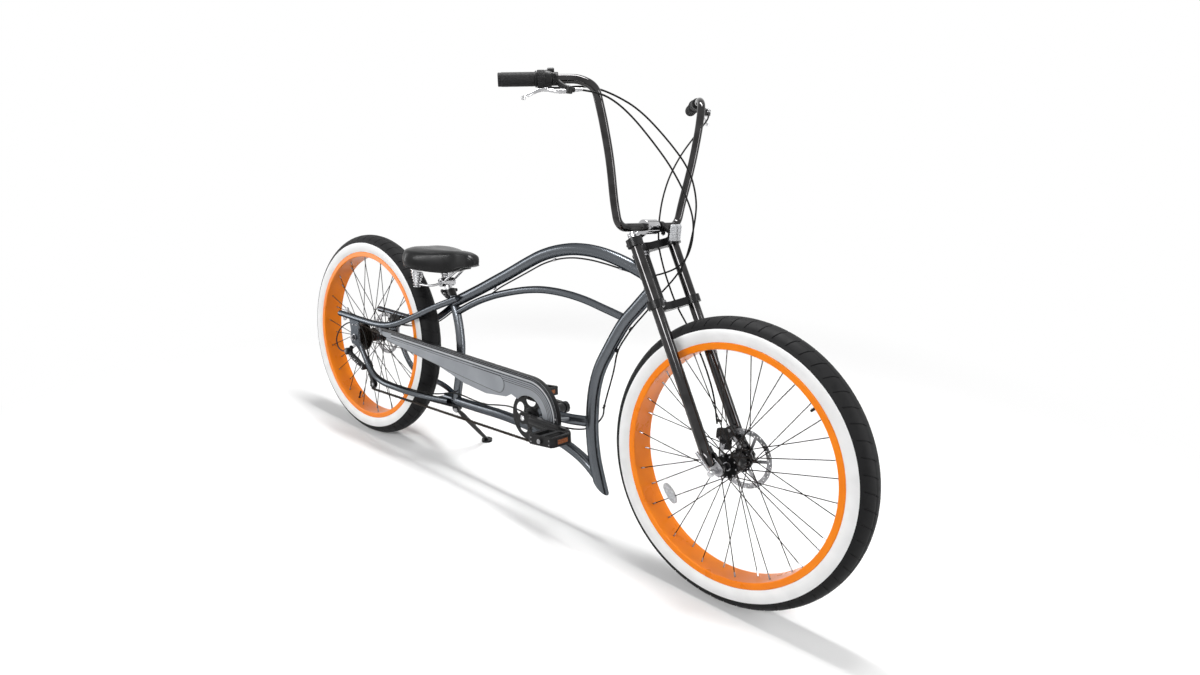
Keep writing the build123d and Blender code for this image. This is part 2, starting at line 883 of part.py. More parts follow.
cap = rod(bar_tip, bar_tip + grip_run * 4, grip_radius)
with BuildPart() as grip:
    add(on_bar(0, grip_length, grip_radius))
    add(cap)
shifter_start = grip_length + touch_gap
cable_exit = bar_tip - grip_run * (shifter_start + shifter_length) - Vector(0, 0, 20)
with BuildPart() as shifter:
    add(on_bar(shifter_start, shifter_length, grip_radius + 4))
    add(rod(cable_exit + grip_run * 20, cable_exit, barrel_radius))
keep(shifter.part, "twist_shifter")
with BuildPart() as grips:
    add(grip.part)
    add(mirror(grip.part, about=Plane.XZ))
    add(mirror(on_bar(grip_length, shifter_length, grip_radius), about=Plane.XZ))
keep(grips.part, "grips")

perch_at = bar_tip - grip_run * (shifter_start + shifter_length + perch_width)
lever_pivot = perch_at + grip_front * 40 - grip_run * 34
barrel_end = lever_pivot - grip_run * barrel_length
lever_line = [
    lever_pivot - grip_run * 4 + grip_front * 4,
    lever_pivot + grip_run * 26 + grip_front * 5,
    lever_pivot + grip_run * 62 - grip_front * 2,
    lever_pivot + grip_run * 106 + grip_front * 26,
]
with BuildPart() as brake_lever:
    add(rod(perch_at + grip_run * perch_width, perch_at - grip_run * perch_width, bar_radius + 5))
    add(rod(perch_at, lever_pivot, 8))
    add(rod(lever_pivot + grip_run * 6, barrel_end, barrel_radius))
    add(bent_tube(lever_line, lever_radius))
    add(handlebar, mode=Mode.SUBTRACT)
    add(grip.part, mode=Mode.SUBTRACT)
keep(both_sides(brake_lever.part), "brake_levers")

stem_clamp_radius = bar_radius + 9
with BuildPart() as stem:
    add(rod(steerer_top, steerer_top - along * 22, 19))
    add(rod(steerer_top - along * 12, bar_middle, 13))
    add(rod(bar_middle - left * 24, bar_middle + left * 24, stem_clamp_radius))
    add(handlebar, mode=Mode.SUBTRACT)
    add(pieces["steerer"], mode=Mode.SUBTRACT)
keep(stem.part, "stem")

reflector_at = bar_middle + Vector(45, 50, -10)
with BuildPart() as reflector:
    with BuildSketch(Plane(origin=reflector_at, x_dir=(0, 1, 0), z_dir=(1, 0, 0))):
        RectangleRounded(50, 46, 6)
    extrude(amount=10)
    add(rod(reflector_at + Vector(1, 0, 0), bar_middle + left * 50, 7))
    add(rod(bar_middle + left * 42, bar_middle + left * 58, bar_radius + 4))
    add(handlebar, mode=Mode.SUBTRACT)
keep(reflector.part, "front_reflector")

# ------------------------------------------------------------ saddle
seat_end = seat_top
post_run = Vector(-18, 0, 30).normalized()
post_end = seat_end + post_run * post_length
post = rod(seat_end, post_end, post_radius)
keep(cut(post, pieces["seat_tube"], pieces["top_tube"]), "seat_post")
with BuildPart() as seat_clamp:
    add(rod(seat_end - post_run * 18, seat_end + post_run * 6, seat_radius + 5))
    add(rod(seat_end + Vector(-4, -30, 3), seat_end + Vector(-4, 30, 3), 4))
    add(pieces["seat_tube"], mode=Mode.SUBTRACT)
    add(post, mode=Mode.SUBTRACT)
    add(pieces["top_tube"], mode=Mode.SUBTRACT)
keep(cut(seat_clamp.part, pieces["upper_stays"]), "seat_clamp")

saddle_rear = seat_top.X - saddle_back
saddle_z = seat_top.Z + saddle_rise
saddle_sections = (  # share of the length, half width, lower edge, crown, all as shares
    (0.0, 0.62, 0.26, 0.92),
    (0.06, 0.84, 0.1, 0.97),
    (0.2, 1.0, -0.03, 1.0),
    (0.38, 0.86, -0.08, 0.98),
    (0.55, 0.5, 0.0, 0.93),
    (0.72, 0.27, 0.12, 0.87),
    (0.9, 0.2, 0.22, 0.85),
    (1.0, 0.13, 0.36, 0.74),
)
with BuildPart() as saddle:
    for share, wide, low, high in saddle_sections:
        place = Plane(
            origin=(saddle_rear + share * saddle_length, 0, saddle_z),
            x_dir=(0, 1, 0),
            z_dir=(1, 0, 0),
        )
        half = wide * saddle_half_width
        bottom = low * saddle_height
        crown = high * saddle_height
        shoulder = bottom + 0.62 * (crown - bottom)
        edge = bottom + 0.16 * (crown - bottom)
        with BuildSketch(place):
            with BuildLine():
                Spline(
                    (-0.93 * half, edge),
                    (-half, shoulder * 0.75 + edge * 0.25),
                    (-0.8 * half, 0.4 * shoulder + 0.6 * crown),
                    (0, crown),
                    (0.8 * half, 0.4 * shoulder + 0.6 * crown),
                    (half, shoulder * 0.75 + edge * 0.25),
                    (0.93 * half, edge),
                )
                Spline(
                    (0.93 * half, edge),
                    (0.7 * half, bottom),
                    (-0.7 * half, bottom),
                    (-0.93 * half, edge),
                )
            make_face()
    loft()
keep(saddle.part, "saddle")

clamp_at = post_end - post_run * 9
spring_at = Vector(saddle_rear + 57, 62, saddle_z)
with BuildPart() as saddle_frame:
    add(rod(clamp_at + left * -26, clamp_at + left * 26, 15))
    for side in (-1, 1):
        spring = Vector(spring_at.X, side * spring_at.Y, spring_at.Z)
        with BuildSketch(Plane.XY.offset(spring.Z - 62)):
            with Locations((spring.X, spring.Y)):
                Circle(8)
        with BuildSketch(Plane.XY.offset(spring.Z - 16)):
            with Locations((spring.X, spring.Y)):
                Circle(20)
        loft()
        add(rod(spring - Vector(0, 0, 16), spring + Vector(0, 0, 10), 20))
        add(
            bent_tube(
                [
                    spring - Vector(0, 0, 56),
                    spring + Vector(50, -side * 24, -56),
                    Vector(clamp_at.X, side * 20, clamp_at.Z - 2),
                    Vector(saddle_rear + saddle_length - 62, side * 12, saddle_z + 16),
                ],
                4,
            )
        )
    add(post, mode=Mode.SUBTRACT)
    add(saddle.part, mode=Mode.SUBTRACT)
keep(saddle_frame.part, "saddle_springs")

# ------------------------------------------------------------ cranks and pedals
crank_run = Vector(cos(radians(crank_angle_deg)), 0, sin(radians(crank_angle_deg)))


def make_crank(side):
    """A crank arm; side -1 is the right and carries the chainring's spider."""
    inner = side * crank_y
    outer = side * (crank_y + crank_thick)
    face = max(inner, outer)
    eye = bracket - crank_run * side * crank_length
    middle = (bracket + eye) / 2
    with BuildPart() as arm:
        add(disc(bracket, min(inner, outer), crank_boss_radius, crank_thick))
        add(disc(eye, min(inner, outer), crank_eye_radius, crank_thick))
        with BuildSketch(
            Plane(origin=(middle.X, face, middle.Z), x_dir=crank_run * -side, z_dir=(0, -1, 0))
        ):
            Trapezoid(crank_length, 30, 88)
        extrude(amount=crank_thick)
        add(disc(bracket, min(side * 52, inner), crank_boss_radius - 3, crank_y - 52))
    return arm.part


keep(make_crank(-1), "crank_right")
keep(make_crank(1), "crank_left")
spindle = rod(bracket + left * -51.5, bracket + left * 51.5, spindle_radius)
keep(spindle, "crank_spindle")

with BuildPart() as chainring:
    add(toothed_disc(bracket, chain_y, ring_teeth, ring_thick, crank_boss_radius - 3))
    with BuildSketch(side_plane(bracket, chain_y + ring_thick)):
        with PolarLocations(48, 5, start_angle=20):
            Ellipse(21, 17, rotation=90)
    extrude(amount=2 * ring_thick, mode=Mode.SUBTRACT)
keep(chainring.part, "chainring")


def make_pedal(eye, side):
    """A pedal: an axle, and a tilted block with open cages on both sides of it."""
    start = side * (crank_y + crank_thick + pedal_gap)
    tilt = radians(pedal_tilt_deg)
    centre = eye + left * (start + side * pedal_width / 2)
    level = Plane(
        origin=centre, x_dir=(cos(tilt), 0, sin(tilt)), z_dir=(-sin(tilt), 0, cos(tilt))
    )
    with BuildPart() as pedal:
        with BuildSketch(level):
            RectangleRounded(pedal_length, pedal_width, 10)
            with GridLocations(pedal_length / 2 - 6, 0, 2, 1):
                RectangleRounded(
                    pedal_length / 2 - 22, pedal_width - 2 * pedal_wall, 4, mode=Mode.SUBTRACT
                )
        extrude(amount=pedal_height / 2, both=True)
        add(rod(eye + left * side * (crank_y + crank_thick + touch_gap), eye + left * start, pedal_axle_radius))
        end = start + side * pedal_width
        add(rod(eye + left * end, eye + left * (end + side * 5), 9))
    return pedal.part


eye_right = bracket + crank_run * crank_length
eye_left = bracket - crank_run * crank_length
keep(make_pedal(eye_right, -1), "pedal_right")
keep(make_pedal(eye_left, 1), "pedal_left")

# ------------------------------------------------------------ chain guard
guard_tail = rear_axle - bracket + Vector(115, 0, 57)
guard_top = [
    (0, guard_outer_radius),
    (0.335 * guard_tail.X - 0.33, guard_outer_radius - 4),
    (guard_tail.X + 97, guard_outer_radius - 10),
    (guard_tail.X, guard_tail.Z),
]
guard_low = [
    (guard_tail.X + 51, guard_tail.Z - 19),
    (0.535 * guard_tail.X, guard_inner_radius - 10),
    (0.37 * guard_tail.X, guard_inner_radius - 36),
    (0.24 * guard_tail.X, guard_inner_radius - 42),
    (-guard_inner_radius - 35, guard_inner_radius - 28),
    (-guard_inner_radius - 12, guard_inner_radius - 14),
    (-guard_inner_radius + 16, guard_inner_radius - 21),
]


def guard_band(depth):
    """A face along the guard's top edge and round its nose, as deep as given."""
    inner = guard_outer_radius - depth
    with BuildLine() as edge:
        Polyline(*guard_top)
        Polyline(
            guard_top[-1],
            (guard_tail.X + 2, guard_tail.Z - depth),
            (guard_tail.X + 97, guard_outer_radius - 10 - depth),
            (0.335 * guard_tail.X - 0.33, guard_outer_radius - 4 - depth),
            (0, inner),
        )
        RadiusArc((0, inner), (inner, 0), inner)
        Line((inner, 0), (guard_outer_radius, 0))
        RadiusArc((guard_outer_radius, 0), (0, guard_outer_radius), -guard_outer_radius)
    return edge.edges()


with BuildPart() as chain_guard:
    with BuildSketch(side_plane(bracket, guard_y)):
        with BuildLine():
            Polyline(*guard_top, *guard_low, (0, 0), (guard_outer_radius, 0))
            RadiusArc((guard_outer_radius, 0), (0, guard_outer_radius), -guard_outer_radius)
        make_face()
        Circle(guard_inner_radius, mode=Mode.SUBTRACT)
    extrude(amount=guard_thick)
    with BuildSketch(side_plane(bracket, guard_flange_y)):
        make_face(guard_band(3))
    extrude(amount=guard_flange_y - guard_y)
    stay_tab = bracket + guard_tail + Vector(35, 0, 0)
    add(rod((stay_tab.X, guard_y, stay_tab.Z - 14), stay_tab + Vector(0, 6 - dropout_y, 15), 5))
    nose = bracket + Vector(guard_outer_radius - 8, 0, 24)
    add(rod((nose.X, guard_y + 1, nose.Z), nose + Vector(-5, -8, -11), 5))
    add(pieces["upper_stays"], mode=Mode.SUBTRACT)
    add(pieces["bracket_tube"], mode=Mode.SUBTRACT)
keep(chain_guard.part, "chain_guard")

# ------------------------------------------------------------ derailleur and rear brake
guide_at = Vector(guide_pulley[0], 0, guide_pulley[1])
tension_at = Vector(tension_pulley[0], 0, tension_pulley[1])
pulley_low = chain_y - pulley_thick / 2
cage_gap = chain_width / 2 + 1.2
cage_thick = 2.0
hanger = rear_axle + Vector(8, 0, -34)
with BuildPart() as derailleur:
    for pulley in (guide_at, tension_at):
        add(disc(pulley, pulley_low, pulley_radius, pulley_thick))
        add(disc(pulley, chain_y - cage_gap, 6, 2 * cage_gap))
    for face in (chain_y + cage_gap, chain_y - cage_gap - cage_thick):
        for pulley in (guide_at, tension_at):
            add(disc(pulley, face, 11, cage_thick))
        middle = (guide_at + tension_at) / 2
        run = tension_at - guide_at
        with BuildSketch(
            Plane(origin=(middle.X, face + cage_thick, middle.Z), x_dir=run, z_dir=(0, -1, 0))
        ):
            Rectangle(run.length, 16)
        extrude(amount=cage_thick)
    outer_cage = chain_y - cage_gap - cage_thick
    knuckle = guide_at + Vector(-18, 0, 6)
    add(rod(guide_at + left * (outer_cage - 22), guide_at + left * outer_cage, 11))
    add(rod(guide_at + left * (outer_cage - 14), hanger + Vector(-26, -104, -22), 9))
    add(rod(hanger + Vector(-26, -112, -22), hanger + Vector(-26, -92, -22), 13))
    add(rod(hanger + Vector(-26, -98, -22), hanger + Vector(-12, -98, -4), 8))
    add(pieces["dropouts"], mode=Mode.SUBTRACT)
    add(pieces["chain_stays"], mode=Mode.SUBTRACT)
keep(derailleur.part, "rear_derailleur")

rear_caliper = make_caliper(rear_caliper_at, -42)
with BuildPart() as rear_brake:
    add(rear_caliper)
    with BuildSketch(side_plane(rear_axle, rotor_y + 31.5)):
        with BuildLine():
            Polyline((16, 42), (26, 60), (74, 66), (60, 40), close=True)
        make_face()
    extrude(amount=20)
    add(pieces["dropouts"], mode=Mode.SUBTRACT)
    add(pieces["upper_stays"], mode=Mode.SUBTRACT)
keep(rear_brake.part, "rear_brake_caliper")

# ------------------------------------------------------------ cables
shift_loop = [
    cable_exit,
    Vector(1190, -283, 1269),
    Vector(1206, -250, 1277),
    Vector(1226, -210, 1279),
    Vector(1258, -170, 1266),
    Vector(1296, -115, 1237),
    Vector(1342, -50, 1171),
    Vector(1376, 10, 1102),
    Vector(1380, 50, 1027),
    Vector(1371, 65, 968),
    Vector(1361, 68, 905),
    Vector(1352, 62, 850),
    Vector(1328, 48, 801),
    Vector(1305, 34, 767),
]
shift_run = [
    shift_loop[-1],
    Vector(1277, 21, 716),
    Vector(1233, 8, 654),
    Vector(1195, 3, 584),
    Vector(1189, 4, 524),
    Vector(1172, 6, 454),
    Vector(1157, 12, 404),
    Vector(1145, 27, 369),
    Vector(1120, 27, 334),
    Vector(1090, 14, 314),
    Vector(1052, 2, 306),
    Vector(1005, -8, 303),
    Vector(950, -13, 299),
    Vector(895, -14, 300),
    Vector(840, -13, 307),
    Vector(781, -12, 308),
    Vector(722, -10, 295),
    Vector(664, -9, 280),
    Vector(608, -11, 279),
    Vector(552, -17, 285),
    Vector(500, -23, 282),
    Vector(452, -37, 266),
    Vector(408, -54, 260),
    Vector(362, -71, 261),
    Vector(310, -82, 261),
    Vector(250, -87, 261),
    Vector(192, -87, 261),
    Vector(141, -87, 271),
    Vector(106, -86, 297),
    Vector(80, -81, 326),
    Vector(64, -78, 360),
    Vector(50, -77, 397),
    Vector(19, -77, 428),
    Vector(-22, -79, 434),
    Vector(-62, -87, 421),
    Vector(-96, -95, 391),
    Vector(-110, -100, 352),
    Vector(-92, -103, 323),
    Vector(-62, -104, 315),
    Vector(-26, -104, 321),
]
brake_loop = [
    barrel_end,
    Vector(1260, -245, 1266),
    Vector(1282, -205, 1253),
    Vector(1307, -160, 1220),
    Vector(1335, -105, 1165),
    Vector(1363, -50, 1103),
    Vector(1386, 0, 1027),
    Vector(1392, 30, 971),
    Vector(1385, 42, 909),
    Vector(1366, 45, 861),
    Vector(1326, 38, 828),
    Vector(1285, 26, 813),
]
brake_run = [
    brake_loop[-1],
    Vector(1237, 15, 808),
    Vector(1185, 2, 817),
    Vector(1128, 0, 823),
    Vector(1070, 0, 826),
    Vector(1010, 0, 823),
    Vector(968, 0, 816),
    Vector(928, 0, 805),
    Vector(878, 0, 785),
    Vector(808, 0, 745),
    Vector(748, 1, 712),
    Vector(690, 5, 681),
    Vector(643, 13, 652),
    Vector(602, 23, 630),
    Vector(560, 29, 607),
    Vector(517, 30, 592),
    Vector(470, 34, 574),
    Vector(416, 43, 551),
    Vector(348, 62, 511),
    Vector(277, 80, 474),
    Vector(209, 85, 449),
    Vector(155, 77, 436),
    Vector(112, 60, 431),
    Vector(72, 52, 430),
]
front_brake_run = [
    Vector(barrel_end.X, -barrel_end.Y, barrel_end.Z),
    Vector(1252, 252, 1245),
    Vector(1241, 215, 1198),
    Vector(1232, 165, 1140),
    Vector(1232, 118, 1075),
    Vector(1240, 85, 1010),
    Vector(1249, 69, 942),
    Vector(1258, 67, 886),
    Vector(1290, 62, 821),
    Vector(1334, 70, 736),
    Vector(1385, 76, 675),
    Vector(1443, 80, 589),
    Vector(1485, 75, 516),
    Vector(1517, 55, 447),
]


def cable(points, *fittings):
    """A cable housing, its ends cut where they meet their fittings."""
    return cut(bent_tube(points, cable_radius), *fittings)


levers = pieces["brake_levers"]
keep(cable(front_brake_run, pieces["front_brake_caliper"], levers), "front_brake_cable")
keep(cable(brake_run, pieces["rear_brake_caliper"]), "rear_brake_cable")
keep(cable(shift_run, pieces["rear_derailleur"]), "shift_cable")
with BuildPart() as steering_cables:
    add(cable(shift_loop, pieces["twist_shifter"], pieces["shift_cable"]))
    add(cable(brake_loop, levers, pieces["rear_brake_cable"]))
keep(steering_cables.part, "steering_cables")

# ------------------------------------------------------------ side stand
foot_z = (floor_level + foot_y * sin(lean)) / cos(lean)
foot = Vector(pivot.X - foot_back, foot_y, foot_z)
foot_top = foot + up * foot_thick * 0.7
stand_out = (foot_top - pivot) - stand_axis * (foot_top - pivot).dot(stand_axis)
leg_start = pivot + stand_out.normalized() * 12
leg_line = (foot_top - leg_start).normalized()
knuckle = 7.0
with BuildPart() as side_stand:
    add(rod(foot, foot + up * foot_thick, foot_radius))
    with BuildSketch(Plane(origin=leg_start, z_dir=leg_line)):
        Circle(knuckle - 1)
    with BuildSketch(Plane(origin=leg_start + leg_line * 40, z_dir=leg_line)):
        Circle(leg_top_radius)
    with BuildSketch(Plane(origin=foot_top, z_dir=leg_line)):
        Circle(leg_foot_radius)
    loft(ruled=True)
    add(rod(pivot - stand_axis * knuckle, pivot + stand_axis * knuckle, 14))
    add(rod(pivot - stand_axis * 20, pivot + stand_axis * 20, 5 + shaft_gap), mode=Mode.SUBTRACT)
keep(side_stand.part, "side_stand")

plate_low = seat_foot.Z - 19
ear_thick = 6.0
ear_up = (Vector(0, 0, 1) - stand_axis * stand_axis.Z).normalized()
ear_run = (plate_low + 4 - pivot.Z) / ear_up.Z
with BuildPart() as stand_mount:
    with BuildSketch(Plane.XY.offset(plate_low)):
        with BuildLine():
            Polyline(
                (seat_foot.X - 100, -46),
                (seat_foot.X - 100, 46),
                (seat_foot.X, 34),
                (seat_foot.X, -20),
                close=True,
            )
        make_face()
    extrude(amount=plate_thick)
    add(rod(pivot - stand_axis * 12, pivot + stand_axis * 12, 5))
    add(rod(pivot + stand_axis * (knuckle + collar_gap), pivot + stand_axis * 12, 9))
    ear = pivot - stand_axis * (knuckle + collar_gap)
    with BuildSketch(Plane(origin=ear, x_dir=ear_up, z_dir=-stand_axis)):
        Circle(13)
        with Locations((ear_run / 2, 0)):
            Rectangle(ear_run, 26)
    extrude(amount=ear_thick)
    add(pieces["chain_stays"], mode=Mode.SUBTRACT)
    add(pieces["bottom_tube"], mode=Mode.SUBTRACT)
keep(stand_mount.part, "stand_bracket")

# ------------------------------------------------------------ lean, centre and write
standing = {name: part.rotate(Axis.X, -lean_deg) for name, part in pieces.items()}
boxes = [part.bounding_box() for part in standing.values()]
centre_shift = Vector(
    -(min(box.min.X for box in boxes) + max(box.max.X for box in boxes)) / 2,
    -(min(box.min.Y for box in boxes) + max(box.max.Y for box in boxes)) / 2,
    -floor_level,
)
for name, part in standing.items():
    placed = part.translate(centre_shift)
    placed.label = name
    export_step(placed, "parts/" + name + ".step")
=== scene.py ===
from math import asin, atan2, cos, hypot, pi, radians, sin, sqrt

import bmesh
import bpy
from mathutils import Matrix, Vector


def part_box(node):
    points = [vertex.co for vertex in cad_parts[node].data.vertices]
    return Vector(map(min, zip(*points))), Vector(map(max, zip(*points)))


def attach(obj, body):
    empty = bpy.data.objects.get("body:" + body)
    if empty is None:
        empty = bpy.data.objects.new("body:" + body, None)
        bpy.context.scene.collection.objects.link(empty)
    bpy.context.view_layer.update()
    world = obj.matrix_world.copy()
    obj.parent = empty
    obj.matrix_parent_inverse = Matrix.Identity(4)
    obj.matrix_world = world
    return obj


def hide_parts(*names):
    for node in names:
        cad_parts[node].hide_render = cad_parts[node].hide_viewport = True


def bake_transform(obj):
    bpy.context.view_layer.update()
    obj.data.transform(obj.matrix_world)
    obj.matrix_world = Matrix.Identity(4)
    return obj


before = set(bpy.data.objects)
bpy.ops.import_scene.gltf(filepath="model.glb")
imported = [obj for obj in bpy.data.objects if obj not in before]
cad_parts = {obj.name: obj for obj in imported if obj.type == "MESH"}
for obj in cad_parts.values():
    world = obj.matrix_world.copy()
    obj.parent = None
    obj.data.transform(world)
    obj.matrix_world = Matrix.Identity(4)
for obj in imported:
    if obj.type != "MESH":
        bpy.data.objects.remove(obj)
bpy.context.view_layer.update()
print("frame loaded,", len(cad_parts), "nodes")

# how the bicycle stands: pieces are drawn upright, x forward from the rear axle, then leaned
stance = {"leanDegrees": 6.92, "axleHeight": 0.380, "wheelBase": 1.614}
rimLow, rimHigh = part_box("rear_rim")
uprightToFloor = (
    Matrix.Translation((rimLow + rimHigh) / 2)
    @ Matrix.Rotation(radians(-stance["leanDegrees"]), 4, "X")
    @ Matrix.Translation((0, 0, -stance["axleHeight"]))
)
rearAxle = Vector((0, 0, stance["axleHeight"]))
frontAxle = Vector((stance["wheelBase"], 0, stance["axleHeight"]))
forward, sideways, upward = Vector((1, 0, 0)), Vector((0, 1, 0)), Vector((0, 0, 1))


def feed(tree, socket, value):
    # a socket takes a plain value or another node's output
    if isinstance(value, bpy.types.NodeSocket):
        tree.links.new(value, socket)
    else:
        socket.default_value = value


def addNode(tree, kind, inputs=None, **settings):
    made = tree.nodes.new("ShaderNode" + kind)
    for name, value in settings.items():
        setattr(made, name, value)
    for socket, value in (inputs or {}).items():
        feed(tree, made.inputs[socket], value)
    return made


def makeFinish(name, lowTone, highTone, rough, metallic, patchSize, bump, grainSize, specular):
    # two tones in soft patches, a roughness that drifts with them, and a fine grain
    material = bpy.data.materials.new(name)
    material.use_nodes = True
    tree = material.node_tree
    place = addNode(tree, "TexCoord").outputs["Object"]
    patches = addNode(tree, "TexNoise", {"Vector": place, "Scale": 1 / patchSize, "Detail": 4}).outputs["Fac"]
    ramp = addNode(tree, "ValToRGB", {"Fac": patches})
    for stop, position, tone in zip(ramp.color_ramp.elements, (0.35, 0.68), (lowTone, highTone)):
        stop.position = position
        stop.color = (*tone, 1)
    spread = addNode(tree, "MapRange", {
        "Value": patches, "From Min": 0.3, "From Max": 0.7, "To Min": rough[0], "To Max": rough[1],
    })
    grain = addNode(tree, "TexNoise", {"Vector": place, "Scale": 1 / grainSize, "Detail": 3})
    relief = addNode(tree, "Bump", {
        "Height": grain.outputs["Fac"], "Strength": bump, "Distance": grainSize / 4,
    })
    shader = tree.nodes["Principled BSDF"].inputs
    feed(tree, shader["Base Color"], ramp.outputs["Color"])
    feed(tree, shader["Roughness"], spread.outputs["Result"])
    feed(tree, shader["Normal"], relief.outputs["Normal"])
    feed(tree, shader["Metallic"], metallic)
    feed(tree, shader["Specular IOR Level"], specular)
    return material


# camera and light, made first so that every piece is seen from the same place
view = {
    "place": (1.7701, -1.7136, 1.3229), "focal": 23.897, "sensor": 36.0,
    "right": (0.74841, 0.66323, 0.0), "down": (0.20733, -0.23395, -0.94989),
    "forward": (-0.63, 0.71091, -0.3126),
}
cameraData = bpy.data.cameras.new("camera")
cameraData.sensor_fit = "HORIZONTAL"
cameraData.sensor_width = view["sensor"]
cameraData.lens = view["focal"]
cameraData.clip_end = 60
camera = bpy.data.objects.new("camera", cameraData)
bpy.context.scene.collection.objects.link(camera)
cameraUp, cameraBack = (tuple(-v for v in view[name]) for name in ("down", "forward"))
turn = Matrix((view["right"], cameraUp, cameraBack)).transposed()
camera.matrix_world = Matrix.Translation(view["place"]) @ turn.to_4x4()
bpy.context.scene.camera = camera

studio = {
    "floorTone": (0.88, 0.88, 0.88), "bounceTone": (0.3, 0.3, 0.3), "floorSize": 60.0,
    "whiteFrom": 1.25, "whiteTo": 2.4, "worldStrength": 0.26,
    "lamps": (  # name, place, what it faces, width, height, power
        ("keyLamp", (0.7, -3.4, 2.3), (0.1, 0.0, 0.55), 3.0, 0.5, 92),
        ("topLamp", (0.1, 0.3, 3.4), (0.1, 0.0, 0.0), 2.2, 0.4, 112),
        ("frontLamp", (3.2, 0.8, 1.25), (0.6, 0.0, 0.7), 0.42, 2.3, 44),
        ("rearLamp", (-3.2, -1.9, 1.25), (-0.2, 0.0, 0.6), 0.42, 2.3, 34),
    ),
}


def larger(tree, first, second):
    return addNode(tree, "Math", {0: first, 1: second}, operation="MAXIMUM").outputs[0]


def seenDirectly(tree):
    # 1 for what the camera and mirrors see, 0 for what only sends light to other things
    path = addNode(tree, "LightPath").outputs
    mirrors = larger(tree, path["Is Glossy Ray"], path["Is Transmission Ray"])
    return larger(tree, path["Is Camera Ray"], mirrors)


def paintWorld(tree):
    lit = tree.nodes["Background"]
    feed(tree, lit.inputs["Color"], (1, 1, 1, 1))
    feed(tree, lit.inputs["Strength"], studio["worldStrength"])
    white = addNode(tree, "Background", {"Color": (1, 1, 1, 1), "Strength": 1.0})
    mix = addNode(tree, "MixShader", {0: seenDirectly(tree), 1: lit.outputs[0], 2: white.outputs[0]})
    feed(tree, tree.nodes["World Output"].inputs["Surface"], mix.outputs[0])


def paintFloor(tree):
    # pale where the shadows fall, plain white to the camera and to mirrors further out
    seen = seenDirectly(tree)
    tone = addNode(tree, "Mix", data_type="RGBA")  # less light thrown back up than the camera sees
    feed(tree, tone.inputs["A"], (*studio["bounceTone"], 1))
    feed(tree, tone.inputs["B"], (*studio["floorTone"], 1))
    feed(tree, tone.inputs["Factor"], seen)
    shader = tree.nodes["Principled BSDF"]
    feed(tree, shader.inputs["Base Color"], tone.outputs["Result"])
    feed(tree, shader.inputs["Roughness"], 0.9)
    feed(tree, shader.inputs["Specular IOR Level"], 0.0)
    place = addNode(tree, "TexCoord").outputs["Object"]
    apart = addNode(tree, "VectorMath", {0: place}, operation="LENGTH").outputs["Value"]
    spread = addNode(tree, "MapRange", {
        "Value": apart, "From Min": studio["whiteFrom"], "From Max": studio["whiteTo"],
    }, interpolation_type="SMOOTHSTEP").outputs["Result"]
    share = addNode(tree, "Math", {0: seen, 1: spread}, operation="MULTIPLY").outputs[0]
    white = addNode(tree, "Emission", {"Color": (1, 1, 1, 1), "Strength": 1.0}).outputs[0]
    mix = addNode(tree, "MixShader", {0: share, 1: shader.outputs[0], 2: white})
    feed(tree, tree.nodes["Material Output"].inputs["Surface"], mix.outputs[0])


world = bpy.data.worlds.new("studio")
bpy.context.scene.world = world
world.use_nodes = True
paintWorld(world.node_tree)
for lampName, place, aim, width, height, power in studio["lamps"]:
    lampData = bpy.data.lights.new(lampName, "AREA")
    lampData.shape = "RECTANGLE"
    lampData.size, lampData.size_y = width, height
    lampData.energy = power
    lamp = bpy.data.objects.new(lampName, lampData)
    lamp.location = place
    lamp.rotation_euler = (Vector(aim) - Vector(place)).to_track_quat("-Z", "Y").to_euler()
    bpy.context.scene.collection.objects.link(lamp)

floorMesh = bpy.data.meshes.new("floor")
reach = studio["floorSize"] / 2
corners = [(-reach, -reach, 0), (reach, -reach, 0), (reach, reach, 0), (-reach, reach, 0)]
floorMesh.from_pydata(corners, [], [(0, 1, 2, 3)])
floor = bpy.data.objects.new("floor", floorMesh)
bpy.context.scene.collection.objects.link(floor)
floorPaint = bpy.data.materials.new("paleFloor")
floorPaint.use_nodes = True
floorMesh.materials.append(floorPaint)
paintFloor(floorPaint.node_tree)
bpy.context.scene.view_settings.view_transform = "Standard"
print("camera, lamps and floor made")

